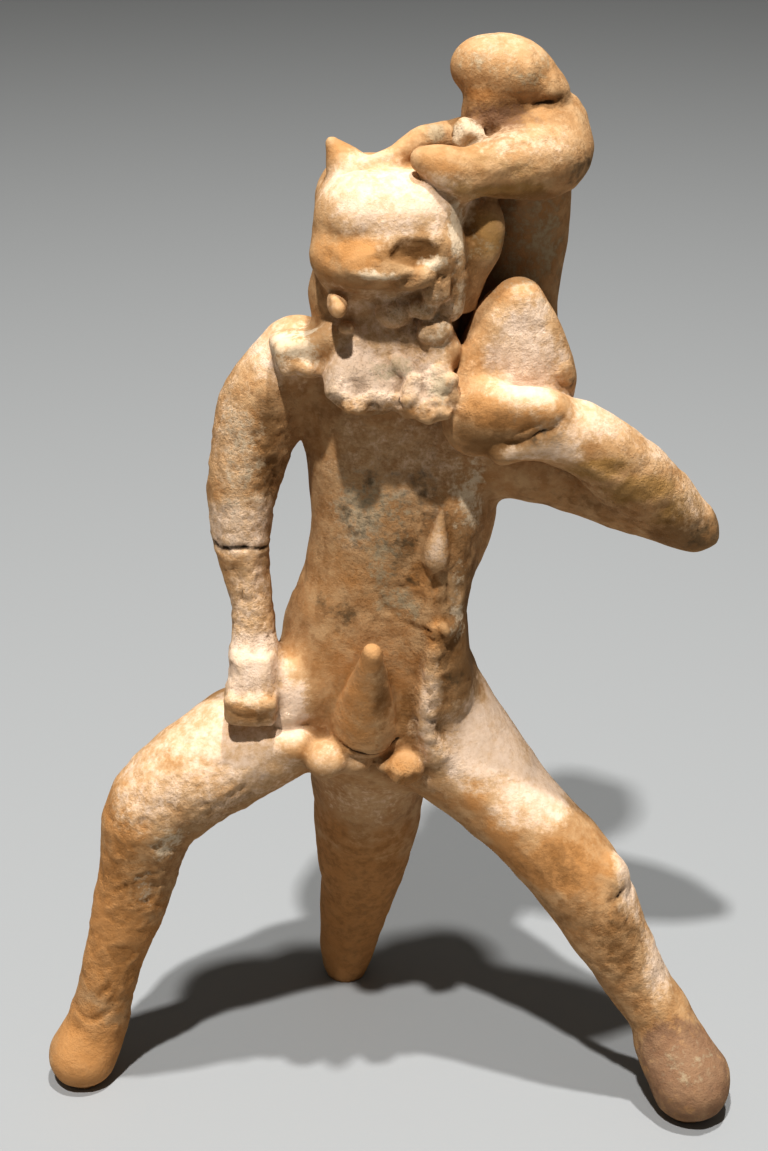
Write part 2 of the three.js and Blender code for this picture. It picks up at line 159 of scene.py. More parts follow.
def block(centre, half, edge, turn=(0, 0, 0)):
    """A block of clay with round edges."""
    axes = turned(turn)

    def distance(x, y, z):
        px, py, pz = x - centre[0], y - centre[1], z - centre[2]
        q = [abs(px * a[0] + py * a[1] + pz * a[2]) - h + edge for a, h in zip(axes.T, half)]
        outside = np.sqrt(sum(np.maximum(part, 0) ** 2 for part in q))
        return outside + np.minimum(np.maximum(np.maximum(q[0], q[1]), q[2]), 0) - edge

    reach = math.hypot(*half)
    return distance, np.array(centre) - reach, np.array(centre) + reach


def window_of(low, high, margin):
    """The part of the grid round a lump, and its coordinates."""
    cut = [
        slice(*np.searchsorted(axis, (lo - margin, hi + margin)))
        for axis, lo, hi in zip(BENCH, low, high)
    ]
    x, y, z = (axis[part] for axis, part in zip(BENCH, cut))
    return tuple(cut), x[:, None, None], y[None, :, None], z[None, None, :]


def press(lump, softness):
    """Presses a lump into the clay, run together over a width of softness."""
    distance, low, high = lump
    cut, x, y, z = window_of(low, high, softness + 2)
    new = distance(x, y, z)
    old = clay[cut]
    overlap = np.maximum(softness - abs(old - new), 0)
    clay[cut] = np.minimum(old, new) - overlap**2 / (4 * softness)


def scoop(lump, softness):
    """Takes a lump's shape out of the clay."""
    distance, low, high = lump
    cut, x, y, z = window_of(low, high, softness + 2)
    hollow = -distance(x, y, z)
    old = clay[cut]
    overlap = np.maximum(softness - abs(old - hollow), 0)
    clay[cut] = np.maximum(old, hollow) + overlap**2 / (4 * softness)


def wash(tone, centre, half, strength=1.0):
    """Notes a patch of a colour or a roughness, laid on once the skin is finished; some colour patches are
    painted shade or light.
    """
    washes.append((tone, centre, half, strength))


def mark(path, width, depth, dark=1.0):
    """Notes a groove along a path, or a ridge where depth is less than nothing."""
    marks.append((path, width, depth, dark))


def chip(centre, half, depth):
    """Notes a place where the skin has come off, or stands up where depth is negative."""
    chips.append((centre, half, depth))


def stroke(centre, half, way, depth):
    """Notes a place with strokes of a finger or a tool in one direction."""
    strokes.append((centre, half, np.array(way) / np.linalg.norm(way), depth))


press(
    roll(
        [
            (-0.9, 0.5, 56, 12.4),
            (-1.2, 0.5, 65, 11.9),
            (0, 0.5, 72, 10.5),
            (2, 1, 80, 11.2),
            (2.4, 1.5, 87, 11.7),
            (1, 1.5, 97, 11.0),
        ],
        TRUNK_DEPTH,
    ),
    PRESSED,
)
press(roll([(1, 2, 98, 7), (1, -0.5, 112, 7)]), PRESSED)
for side in (-7, 4.5):
    press(egg((side, 5.5, 52), (7, 5.2, 7.5)), PRESSED)
press(
    roll([(8.2, -3.2, 88, 3.2), (7.4, -4.2, 79, 3.6), (6.8, -4.6, 70, 3.6), (7, -4.2, 60, 4.2)]),
    PRESSED,
)
press(egg((-11.4, -3.6, 60), (4.6, 4.4, 5.4)), PRESSED)
press(roll([(-12.4, -5.6, 62.8, 1.5), (-12.7, -6.1, 57.4, 2.0)]), JOINED)
press(roll([(7.1, -7.3, 86.6, 0.2), (6.4, -7.5, 80.6, 1.6), (6.2, -6.2, 77.4, 1.5)]), 0.2)
scoop(block((9.0, -10.2, 82.4), (1.3, 1.7, 5.0), 0.1, (0, -6, 25)), 0.2)
press(egg((7.3, -7.6, 70.5), (2.0, 1.6, 1.6)), TOUCHING)
press(egg((6.2, -7.8, 67.6), (1.3, 1.2, 1.5)), TOUCHING)
press(
    roll([(6.2, -8.0, 66, 1.1), (5.6, -8.2, 62, 1.2), (5.2, -8.2, 57, 1.0), (6.6, -7.6, 52, 1.0)]),
    JOINED,
)
chip((6.9, -8, 75.0), (1.5, 3, 3.2), 0.5)
chip((8.6, -7, 75.5), (1.2, 3, 4.0), 0.3)
chip((2.6, -7, 73.5), (3.4, 3, 2.6), 0.18)
belly_crack = [
    (-1.0, -7.0, 74.6),
    (0.1, -7.2, 72.8),
    (1.4, -7.4, 71.5),
    (3.4, -7.8, 70.1),
    (5.6, -8.2, 70.3),
]
mark(belly_crack, 0.34, 0.42, 0.5)
mark([(-0.8, -6.9, 75.0), (0.8, -6.9, 75.6), (2.6, -7.0, 75.2)], 0.3, 0.2, 0.0)
mark([(7.2, -8, 64.4), (8.6, -7, 62.6), (10.4, -6, 62.4)], 0.3, 0.2, 0.4)
wash("slip", (2, -7, 92), (10, 5, 6), 0.35)
wash("slip", (-3.4, -7, 85), (5, 4, 5), 0.5)
wash("brown", (2, -7, 80), (7, 6, 5), 0.35)
# Painted shade: brown on the left flank and hip, where the flank turns from the light and the upper arm
# shades it.
wash("brown", (10.6, -5, 67), (4.6, 7, 11), 1.3)
# Painted shadow: brown beside the pointed lump, on its side turned from the light.
wash("brown", (9.4, -8, 83), (2.4, 4, 4), 0.7)
# Painted shadow: brown in the dip between the cone and the ridge beside it, where the cone shades the
# belly.
wash("brown", (3.2, -8, 58), (1.6, 3, 6), 0.8)
for speck, spread in (
    ((-5.2, -6, 84.8), 1.5),
    ((-4.2, -6, 82.6), 1.2),
    ((0.3, -7, 84.9), 1.4),
    ((2.2, -7, 81.0), 1.5),
    ((1.2, -7, 78.8), 1.1),
    ((-1.6, -7, 89.4), 1.7),
    ((4.4, -7, 88.6), 1.9),
    ((-7.6, -6, 72.2), 1.3),
    ((-5.0, -6, 71.4), 1.7),
    ((8.5, -8, 63), 1.6),
    ((3.6, -7, 76.6), 1.0),
):
    wash("soot", speck, (spread, 3, spread), 0.8)
wash("soot", (-1, -7, 84), (8, 4, 7), 0.4)
wash("grey", (-2.6, -7, 85.5), (5.6, 4, 4.6), 0.75)
wash("grey", (-0.6, -7, 79), (2.4, 4, 4.4), 0.65)
# Chalk on the chest below the left shoulder: partly a whitish deposit, partly a painted highlight where
# light falls past the beard.
wash("chalk", (9.8, -4, 87.6), (2.2, 5, 4.2), 0.8)
wash("grey", (2.2, -7, 73.4), (3.0, 4, 2.0), 0.7)
wash("chalk", (9.0, -6, 73), (1.2, 4, 5), 0.6)
wash("slip", (6.4, -8.8, 82.0), (1.3, 2, 3.4), 0.7)
wash("orange", (6.8, -8.8, 82.4), (1.8, 2, 3.0), 1.0)
wash("orange", (7, -9, 70), (2.6, 2, 2.4), 1.0)
wash("orange", (4.6, -8, 76), (2.4, 3, 3.4), 0.8)
wash("orange", (-4, -8, 77), (6, 4, 4.5), 0.5)
wash("orange", (-1, -9, 63), (10, 4, 8), 0.5)
wash("slip", (-12.0, -8, 59), (2.6, 4, 5), 1.3)
wash("slip", (5.6, -9, 58), (1.6, 3, 8), 0.7)
wash("rough", (2, -7, 80), (12, 8, 15), 0.6)
wash("rough", (6.5, -8, 64), (3.4, 5, 16), 1.1)
wash("lumpy", (6.6, -8, 70), (2.6, 4, 5), 0.8)
wash("lumpy", (5.8, -9, 59), (1.8, 3, 9), 0.4)

# The two legs: spread rolls bent at the knee, each ending in a plain rounded foot, and the
# tail, a thicker roll that reaches the ground behind them as a third foot.
press(
    roll(
        [
            (-11.4, -5.8, 52.5, 3.2),
            (-18.9, -3.4, 50.1, 7.0),
            (-29.7, -5.6, 43.3, 6.6),
            (-33.8, -6, 30.1, 5.0),
            (-37.1, -6.5, 19, 4.1),
            (-39.2, -6.8, 10.9, 3.9),
        ]
    ),
    TOUCHING,
)
press(roll([(-8, 2.5, 52.5, 7.2), (-18.9, -1, 50.6, 7.0)]), PRESSED)
press(roll([(-39.6, -6.6, 8.5, 4.2), (-42, -8, 4, 4.6)]), JOINED)
press(roll([(-17, -6.6, 53.4, 1.6), (-11.4, -8.0, 53.6, 1.9)]), JOINED)
press(
    roll(
        [
            (6.1, 0.5, 51, 8.0),
            (17, -4, 42.1, 6.4),
            (25, -7, 34.3, 6.1),
            (30.6, -9, 24.5, 5.0),
            (34.2, -10, 17.8, 4.3),
            (37.3, -11, 13.5, 4.2),
        ]
    ),
    PRESSED,
)
press(roll([(8.2, 0.5, 58, 4.2), (14, -2, 47, 5)]), PRESSED)
press(roll([(38.6, -12.2, 10, 4.8), (41.4, -14.8, 5.1, 5.6)]), JOINED)
press(egg((29.6, -9.6, 34.6), (2.6, 2.6, 3.0)), JOINED)
press(
    roll(
        [
            (-2, 4, 48, 8.5),
            (-2.3, 8, 37.1, 7.8),
            (-2.9, 11, 25.2, 6.5),
            (-4, 13.5, 16.5, 5.3),
            (-5.4, 15.5, 6.1, 4.3),
            (-5.8, 16, 2.4, 3.6),
        ]
    ),
    PRESSED,
)
mark([(-34.4, -9.6, 46.4), (-33.2, -10.6, 44.4), (-34, -10.8, 42.4)], 0.5, 0.15, 0.0)
for foot_scratch in range(3):
    start = np.array((-38.8 + 1.1 * foot_scratch, -10.6, 15.5 - 1.2 * foot_scratch))
    mark([start, start + (1.0, -0.1, 1.4), start + (1.4, 0, 2.6)], 0.3, 0.25, 0.3)
mark([(-42.6, -10, 12.4), (-40.6, -11, 11.6), (-38.2, -11, 12.6), (-36.6, -10, 14.4)], 0.5, 0.3, 0.3)
mark([(29.4, -11.8, 32.6), (30.6, -12, 32.8), (31.4, -11.4, 33.8)], 0.4, 0.35, 0.6)
chip((-27.6, -11.4, 40.6), (2.4, 3, 2.0), 0.3)
chip((-31.4, -11.4, 33.4), (1.8, 3, 3.4), 0.3)
chip((-35.2, -11, 22.6), (2.0, 3, 2.2), 0.2)
chip((-30.6, -11, 44.4), (1.4, 3, 1.2), 0.25)
chip((31, -12, 31), (1.4, 3, 1.8), -0.25)
stroke((-24, -8, 49), (11, 9, 8), (0.9, -0.3, 0.75), 0.16)
stroke((-35, -10, 25), (6, 8, 16), (0.8, -0.2, 0.6), 0.14)
stroke((22, -9, 42), (14, 9, 14), (0.7, 0, -0.7), 0.1)
wash("slip", (-20, -6, 52.5), (10, 9, 6.4), 0.75)
wash("slip", (-29.6, -8, 47.6), (6, 8, 5), 0.55)
wash("slip", (-23, -9, 47), (6, 6, 4), 0.45)
wash("orange", (-11.4, -9.6, 53.4), (2.4, 2.4, 2.0), 0.8)
wash("orange", (-24.6, -8, 53.9), (3.0, 2.0, 1.0), 1.2)
wash("brown", (-25.2, -8, 54.3), (1.6, 1.6, 0.5), 1.2)
wash("orange", (-19, -9, 52.6), (2.4, 2, 1.2), 0.7)
wash("orange", (-33.6, -9, 44), (4.4, 7, 7), 1.1)
wash("orange", (-41, -9, 6), (6, 6, 8), 1.1)
wash("orange", (-36, -9, 27), (7, 8, 16), 1.1)
wash("brown", (-33.4, -8, 36), (4, 8, 6), 0.45)
wash("brown", (-34.6, -9, 20), (3, 8, 6), 0.35)
wash("chalk", (-28, -12, 41), (2.6, 3, 2.4), 0.7)
wash("chalk", (-31.4, -12, 33.4), (1.6, 3, 3.0), 0.45)
wash("rough", (-31, -8, 36), (7, 9, 12), 0.8)
wash("rough", (-23, -9, 45), (9, 8, 6), 0.9)
wash("rough", (-38, -8, 16), (7, 9, 10), 0.5)
wash("slip", (13, -5, 53), (7.5, 9, 7), 1.0)
wash("slip", (20.4, -5, 47.4), (7.5, 9, 5.4), 0.95)
wash("orange", (11.8, -9, 47.6), (2.0, 3, 3.8), 1.1)
wash("orange", (15.2, -10.6, 42.0), (2.2, 3, 3.8), 1.2)
wash("orange", (22.6, -12, 37.6), (7.4, 5, 4.2), 1.2)
wash("brown", (22.6, -12, 38.0), (6.4, 5, 3.8), 0.6)
wash("brown", (25, -13, 31), (5, 5, 3.4), 0.5)
wash("brown", (31.5, -13, 27), (3.2, 4, 7), 0.8)
wash("brown", (37.4, -15, 15), (3.6, 4, 4), 0.4)
wash("slip", (32.4, -9, 34.6), (2.2, 4, 6.4), 1.1)
wash("slip", (37.0, -11, 23.6), (2.4, 5, 8), 1.0)
wash("plum", (41, -16, 7), (7, 7, 8), 1.3)
wash("brown", (42, -16, 5), (6, 6, 6), 0.5)
wash("orange", (43.6, -12, 11.4), (2, 3, 1.8), 0.6)
wash("grey", (40.6, -17, 9.6), (4, 4, 4), 0.3)
wash("rough", (33, -12, 22), (7, 8, 15), 0.7)
wash("rough", (41, -16, 7), (7, 7, 8), 0.3)
# Brown over the tail: partly the clay's tone, partly painted shade, as the tail stands behind the legs in
# shadow.
wash("brown", (-3, 8, 24), (12, 14, 26), 0.4)
wash("orange", (-4, 10, 18), (10, 12, 26), 1.3)
wash("slip", (-1.6, 2, 42), (7, 8, 6), 0.3)

# The right arm: a roll that hangs from the shoulder and thins to the wrist, with the hand
# folded down flat on the thigh as two blocks. It broke below the elbow and was joined again.
BREAK_HEIGHT = 79.9
press(
    roll(
        [
            (-10.5, 1.8, 102.5, 5.2),
            (-14.9, 1.2, 97, 5.3),
            (-17.3, 0, 88.5, 4.7),
            (-18, -1, 82.2, 3.9),
            (-17.9, -1.8, 79.2, 3.5),
            (-17.2, -2.8, 74.8, 3.0),
            (-16.6, -4, 69.8, 2.7),
            (-16.5, -5.2, 66, 2.8),
        ]
    ),
    PRESSED,
)
press(block((-16.8, -6.7, 63.6), (3.0, 2.8, 3.4), 1.7, (-8, 0, 0)), JOINED)
press(block((-16.9, -8.2, 59.9), (3.4, 2.6, 2.4), 1.2, (10, 3, 0)), TOUCHING)
press(block((-16.4, -4.9, 57.8), (2.9, 2.3, 3.0), 1.6), JOINED)
mark([(-20.4, -8.8, 61.6), (-18, -10.1, 62.0), (-16.2, -10.1, 61.7), (-13.4, -9.2, 61.9)], 0.3, 0.3, 0.35)
for around in range(9):
    angle = math.radians(40 * around)
    ahead = math.radians(40 * (around + 1))
    joint = [
        (-17.9 + 3.9 * math.cos(a), -1.7 + 3.9 * math.sin(a), BREAK_HEIGHT + 0.3 * math.sin(3 * a))
        for a in (angle, (angle + ahead) / 2, ahead)
    ]
    mark(joint, 0.3, 0.4, 1.3)
mark([(-19.2, -5.2, 73.6), (-17.6, -6, 73.2), (-15.4, -5.6, 73.8)], 0.3, 0.2, 0.3)
mark([(-18.8, -5.6, 70.2), (-16.8, -6.6, 69.6), (-14.8, -6, 70.2)], 0.3, 0.2, 0.3)
mark([(-19.0, -5.0, 77.2), (-17.8, -5.6, 75.4), (-18.2, -5.8, 73.4)], 0.28, 0.22, 0.3)
mark([(-19.6, -9.8, 60.2), (-17.4, -10.8, 59.4), (-14.2, -10.4, 60.0)], 0.28, 0.2, 0.3)
chip((-17.4, -2.4, 74.4), (7.5, 7, 5.4), 0.2)
chip((-15.4, -7, 67.6), (1.6, 2, 1.8), 0.25)
chip((-18.6, -4.6, 76.0), (1.8, 2, 1.6), 0.2)
chip((-14.9, -4.6, 75.4), (1.2, 2, 2.6), 0.2)
chip((-19.4, -9.4, 64.6), (1.2, 3, 1.6), 0.3)
chip((-14.6, -10.4, 58.6), (1.6, 3, 1.2), 0.3)
wash("slip", (-12, -2, 104.5), (6, 8, 3.4), 0.8)
wash("slip", (-18, -4, 83), (5, 6, 4), 0.8)
wash("slip", (-16.8, -8, 65), (5, 5, 4), 1.3)
wash("slip", (-17, -10, 62.6), (4, 3, 1.4), 0.8)
wash("slip", (-17, -4, 73), (4, 6, 8), 0.5)
wash("orange", (-17, -11, 59.6), (4, 3, 2.4), 0.6)
wash("orange", (-17, -4, 74), (5, 6, 6), 0.4)
wash("orange", (-20.6, -1, 90), (2, 5, 12), 0.4)
wash("slip", (-18.6, -4, 93), (3.4, 5, 10), 0.45)
wash("grey", (-17.8, -4, 92), (3.0, 4, 9), 0.4)
# Painted shade: brown down the side of the upper arm that is turned from the light, toward the body.
wash("brown", (-14.6, -3, 92), (2.0, 4, 10), 0.8)
wash("rough", (-17, -2, 90), (7, 8, 13), 1.0)
wash("rough", (-17, -5, 71), (5, 6, 9), 0.9)
wash("rough", (-17, -9, 61), (5, 4, 4), 0.7)

# The left arm: the upper arm goes straight out to a pointed elbow, and the forearm folds back
# in front of it to an open hand under the seated figure.
press(
    roll([(9.5, 1.5, 93.6, 7.2), (21.7, 0.2, 90.1, 6.3), (31.6, -2, 86.4, 5.3), (38.6, -3.2, 82.0, 2.4)]),
    PRESSED,
)
press(
    roll([(38.2, -4, 82.6, 2.6), (31, -6, 89.2, 4.6), (24.3, -8.2, 95.2, 4.2), (18.6, -8.8, 97.6, 3.9)]),
    JOINED,
)
press(block((39.2, -4.2, 82.6), (1.5, 1.3, 2.1), 0.6, (0, -14, 0)), JOINED)
press(egg((11.4, -8.2, 98.6), (4.4, 3.6, 4.9), (0, 20, 0)), JOINED)
thumb = [
    (10.9, -9.6, 100.4, 2.2),
    (14.6, -11.0, 101.0, 2.3),
    (18.6, -10.9, 100.6, 2.3),
    (20.2, -9.8, 99.6, 1.9),
]
press(roll(thumb), JOINED)
press(roll([(11.8, -10.4, 98.2, 1.8), (14.8, -10.9, 98.9, 1.9), (17.4, -10.6, 99.0, 1.8)]), JOINED)
press(roll([(21.0, -9.2, 98.4, 1.6), (18.0, -10.2, 96.6, 1.8), (14.0, -10.2, 95.2, 1.8)]), JOINED)
mark([(14.6, -12.6, 96.8), (16.6, -13, 97.4), (18.6, -12.8, 98.4), (20.4, -11.8, 99.6)], 0.5, 0.4, 0.35)
mark([(14.8, -12.4, 98.2), (16.8, -13, 98.7), (18.6, -12.8, 99.6)], 0.3, 0.25, 0.2)
mark([(22.4, -10.4, 94.8), (25, -10.6, 92.6), (27.4, -10.4, 91.0)], 0.7, -0.18, 0.0)
stroke((29, -8, 92), (12, 8, 7), (0.85, 0.1, -0.5), 0.1)
chip((29.2, -11, 93.0), (2.2, 3, 1.2), 0.12)
wash("orange", (15, -12, 100.6), (7, 4, 2.4), 1.2)
wash("brown", (15, -12, 100.2), (6, 4, 2.4), 0.45)
wash("slip", (15.4, -11.4, 103.2), (6, 4, 0.7), 0.5)
wash("brown", (12, -11, 97), (4.4, 5, 3.4), 1.0)
wash("soot", (17.8, -12, 97.6), (3, 2, 1.2), 0.5)
wash("slip", (20.5, -11, 95.6), (3, 3, 1.6), 0.8)
wash("slip", (16.6, -12, 95.4), (3, 3, 1.0), 0.6)
wash("slip", (25, -7, 99.0), (7, 7, 3.4), 0.7)
wash("slip", (32.4, -5, 94.4), (8, 6, 3.4), 0.7)
wash("slip", (38.4, -5, 88), (4, 5, 4), 0.5)
wash("orange", (24, -11, 95.5), (4, 4, 3), 0.45)
wash("ochre", (25.6, -11.6, 93.4), (4.4, 4, 1.8), 0.8)
wash("ochre", (30.4, -10, 90.4), (4.6, 4, 2.2), 0.9)
wash("ochre", (35.6, -7, 86.6), (4.2, 4, 2.6), 0.9)
wash("brown", (26, -5, 85), (14, 6, 3.4), 0.4)
wash("brown", (37.4, -6, 83), (5, 5, 3.4), 1.4)
wash("soot", (39.6, -5, 82.6), (2.6, 4, 2.2), 1.2)
wash("rough", (32, -8, 90), (10, 6, 8), 0.6)

# The head: a big square block turned a little to his right, with the brow hanging over the
# face, a pellet for the nose, a cropped lumpy beard, one small ear and one broad flat one.
press(block((0.3, -1.9, 119.6), (8.4, 8.8, 7.6), 5.2, (2, 2, 0)), JOINED)
press(egg((0, -1.2, 110.6), (8.9, 6.6, 9)), JOINED)
brow = [
    (-6.2, -8.2, 117.8, 1.6),
    (-2.6, -10.6, 117.5, 1.9),
    (2.4, -10.4, 117.8, 1.9),
    (7, -7.2, 118.6, 1.5),
]
press(roll(brow), PRESSED)
press(roll([(5.6, -8.6, 118.6, 1.9), (7.4, -7.4, 115.6, 1.8), (7.6, -7.0, 111.6, 1.6)]), PRESSED)
scoop(egg((2.2, -12.9, 119.3), (2.8, 1.7, 1.5), (0, 6, 10)), TOUCHING)
scoop(egg((4.6, -12.7, 119.0), (2.0, 1.8, 1.8), (0, -12, 0)), TOUCHING)
chip((3.4, -12, 119.2), (3.2, 3, 1.6), 0.3)
chip((-1.0, -12, 118.2), (1.4, 3, 0.9), 0.2)
press(egg((3.4, -10.9, 116.0), (2.4, 1.4, 1.3), (0, -14, 0)), TOUCHING)
press(egg((6.0, -9.4, 114.4), (1.7, 1.7, 1.9), (0, 20, 0)), TOUCHING)
press(egg((-5.3, -9.8, 112.9), (1.1, 2.9, 0.9), (16, 0, 0)), TOUCHING)
press(roll([(-5.8, -10.8, 113.9, 0.4), (-5.1, -12.0, 112.9, 0.7)]), TOUCHING)
press(roll([(-5.4, -6.0, 107.4, 2.2), (0, -6.5, 107.2, 2.3), (5.4, -6.0, 107.6, 2.4)]), JOINED)
press(egg((1.2, -8.0, 111.4), (2.2, 2.0, 1.8)), TOUCHING)
press(egg((4.4, -8.8, 112.2), (1.9, 1.8, 1.5)), TOUCHING)
press(egg((5.8, -8.4, 109.2), (2.0, 1.8, 1.7)), TOUCHING)
press(egg((-4.4, -8.2, 109.4), (0.8, 0.9, 0.6)), TOUCHING)
press(egg((8.6, -2.4, 124.0), (2.6, 4, 3.4)), PRESSED)
press(roll([(-3.4, -2.6, 125.2, 3.2), (-4.7, -2.6, 127.2, 2.2), (-6.0, -2.6, 129.4, 0.8)]), TOUCHING)
press(egg((11.0, -4.8, 119.6), (2.8, 2.0, 4.4), (0, 12, -15)), TOUCHING)
press(roll([(10.6, -4.8, 117.4, 2.2), (10.1, -4.8, 115.0, 1.8), (9.4, -4.6, 111.4, 1.2)]), JOINED)
press(block((-2.2, -9.1, 103.2), (3.8, 2.0, 3.3), 1.7, (-33, 12, 6)), JOINED)
press(egg((-4.6, -8.9, 103.4), (2.6, 2.4, 2.6), (-20, 20, 0)), JOINED)
press(block((4.6, -9.0, 102.8), (3.2, 2.0, 3.6), 1.5, (-28, -6, -8)), JOINED)
for lobe, reach, lean in (
    ((-5.2, -10.3, 102.0), (1.5, 1.4, 0.9), (-20, 28, 0)),
    ((-2.6, -11.0, 101.3), (2.2, 1.1, 0.8), (-15, -8, 8)),
    ((0.6, -10.8, 101.6), (1.4, 1.1, 0.9), (-10, 24, 0)),
    ((3.0, -11.2, 101.6), (1.3, 1.2, 1.2), (10, -20, 20)),
    ((4.6, -11.2, 100.4), (1.5, 1.3, 1.1), (0, 25, -10)),
    ((6.3, -10.8, 100.6), (1.2, 1.3, 1.2), (0, -20, -10)),
    ((7.2, -10.0, 102.8), (0.9, 1.3, 1.6), (0, 0, 30)),
):
    press(block(lobe, reach, 0.5, lean), TOUCHING)
press(roll([(1.6, -9.6, 105.6, 0.9), (3.4, -10.6, 104.4, 1.1), (3.0, -11.2, 102.8, 1.0)]), TOUCHING)
for notch, reach in (
    ((-5.6, -11, 101.8), (0.9, 3, 0.8)),
    ((-3.4, -12, 103.4), (1.9, 3, 1.0)),
    ((-1.2, -12, 100.7), (0.9, 3, 0.8)),
    ((5.6, -12, 101.0), (0.7, 3, 0.8)),
    ((7.3, -11, 101.8), (0.8, 3, 1.2)),
):
    chip(notch, reach, 0.35)
press(egg((6.4, -7.0, 106.4), (2.4, 2.3, 2.3)), JOINED)
press(block((-10.0, -5.2, 105.7), (3.1, 3.0, 2.0), 0.9, (0, -10, 12)), JOINED)
press(egg((-9.0, -7.4, 104.4), (2.2, 1.5, 1.1), (0, 14, 0)), TOUCHING)
mark([(-4.0, -12, 101.6), (-3.0, -11.6, 103.0), (-3.2, -11, 104.6)], 0.4, 0.25, 0.2)
mark([(1.7, -12.2, 101.6), (1.9, -11.8, 103.4), (1.3, -11, 105.2)], 0.4, 0.25, 0.3)
mark([(-3.6, -12.8, 117.1), (-0.6, -12.9, 116.8), (1.8, -12.6, 117.2), (4.6, -12, 118.0)], 0.4, -0.3, 0.0)
mark([(-6.6, -11, 121.0), (-4.4, -12, 120.4), (-2.6, -12, 121.2)], 0.6, 0.22, 0.0)
mark([(-6.4, -11, 118.6), (-5.0, -12, 118.0), (-4.2, -12, 119.2)], 0.6, 0.2, 0.0)
wash("slip", (0.3, -9, 124.4), (8.2, 8, 3.8), 0.85)
wash("slip", (-5, -7, 126.0), (3, 5, 3), 0.8)
wash("orange", (-3.4, -12, 119.4), (5.0, 4, 1.9), 1.0)
wash("orange", (-6.6, -9, 118), (2.4, 4, 4), 0.7)
wash("brown", (3.2, -12, 119.4), (4.0, 4, 1.9), 1.5)
wash("chalk", (-0.8, -13, 117.0), (2.2, 1.6, 0.7), 0.9)
wash("chalk", (5.6, -11, 117.8), (1.8, 2, 0.9), 0.9)
wash("chalk", (8.0, -8.4, 120.6), (0.9, 2.4, 4.2), 1.1)
wash("chalk", (8.8, -7.6, 112), (0.9, 2.4, 5.0), 0.6)
# Brown on the face under the brow: partly the clay's tone, partly painted shade where the brow shades the
# face.
wash("brown", (-1, -11, 114.6), (9, 5, 2.2), 0.5)
wash("brown", (-8, -7, 111), (2.4, 4, 6), 0.5)
wash("slip", (1.6, -9, 111), (9, 5, 5), 0.5)
wash("chalk", (3.8, -10.8, 111.4), (3.2, 2, 2.6), 0.4)
wash("chalk", (6.6, -10, 109.4), (2.2, 2, 2.2), 0.4)
wash("orange", (-5.4, -13, 113.2), (1.6, 2, 1.6), 1.3)
wash("orange", (-6, -2.6, 128.6), (2, 3, 1.8), 0.9)
wash("ochre", (11.8, -6.4, 120.2), (2.2, 2.5, 2.8), 0.9)
wash("brown", (9.8, -6.4, 118.0), (1.8, 2.5, 4), 0.8)
wash("slip", (9.6, -6, 123.8), (2.4, 2.4, 0.8), 0.6)
wash("slip", (-2.4, -10.6, 104.4), (6, 4, 3.4), 1.3)
wash("slip", (4.6, -11, 103.4), (4, 4, 4), 1.0)
wash("grey", (0.6, -11, 105.2), (2.4, 2.6, 1.4), 0.7)
wash("grey", (6.4, -11, 103.2), (1.5, 2.4, 2.4), 0.9)
wash("orange", (-3.4, -12, 101.2), (4.4, 3, 1.0), 1.1)
wash("orange", (3.6, -12.4, 101.2), (2.4, 2.4, 1.6), 1.0)
wash("orange", (3.2, -12, 104.6), (0.9, 2.4, 1.6), 0.9)
wash("orange", (7.9, -10.2, 105.0), (1.2, 1.6, 1.3), 1.3)
# Painted shadow: a brown band under the beard's lower edge, where it overhangs the chest.
wash("brown", (0, -9, 99.6), (9, 4, 1.2), 0.7)
wash("chalk", (-10.4, -7, 106.6), (3.6, 4, 1.8), 1.0)
wash("orange", (-9.2, -9, 104.0), (3.0, 2.4, 1.2), 1.1)
wash("rough", (4, -10, 113), (7, 5, 6), 1.0)
wash("rough", (0, -10, 103), (12, 5, 5), 0.9)
wash("lumpy", (0.5, -11, 101.6), (8.4, 4, 2.4), 0.9)
wash("lumpy", (5.0, -11, 103.4), (3.6, 4, 3.4), 0.9)
wash("lumpy", (-10, -7, 105), (3.4, 4, 2.6), 0.7)
wash("lumpy", (4.6, -11, 114), (4, 4, 5), 1.0)

# The seated figure: trunk, bun-shaped head with no face, and both arms thrown round the
# satyr's head, one along its crown and one thick one across the front.
press(
    roll([(16.6, 4.5, 127, 5.4), (16.6, 5.2, 119.5, 5.6), (15.6, 5.2, 112, 6.0), (14, 3.6, 102.5, 6.6)]),
    PRESSED,
)
press(egg((13.7, 2.4, 136.5), (6.3, 5.2, 4.4), (0, 10, 0)), TOUCHING)
press(egg((18.1, 2.2, 135.3), (3.7, 3.8, 2.5), (0, 38, 0)), TOUCHING)
press(roll([(12.2, 1.0, 134.2, 3.4), (12.9, 2.4, 127, 4.4)]), TOUCHING)
press(egg((16.8, 0.4, 131.0), (4.0, 3.8, 2.4)), JOINED)
press(
    roll(
        [
            (19.0, 3.4, 129.9, 4.8),
            (19.4, 0.2, 127.8, 4.6),
            (16.6, -3.0, 127.6, 4.6),
            (12.7, -5.2, 127.3, 3.4),
            (9.4, -6.8, 127.2, 2.6),
            (6.4, -7.6, 128.2, 2.1),
            (4.4, -7.4, 128.6, 1.5),
        ]
    ),
    TOUCHING,
)
press(roll([(9.0, -7.4, 125.6, 1.6), (6.4, -7.8, 126.6, 1.5)]), JOINED)
stroke((15, -5, 128), (9, 7, 5), (0.95, 0.2, 0.25), 0.1)
press(
    roll(
        [
            (12.5, 5.5, 128.5, 2.8),
            (7.5, 2.6, 128.8, 2.0),
            (4.6, 0.2, 129.2, 1.7),
            (2.9, -1.2, 128.7, 1.5),
            (0.6, -2.6, 127.5, 1.3),
            (-4.2, -3.8, 126.3, 1.2),
        ]
    ),
    TOUCHING,
)
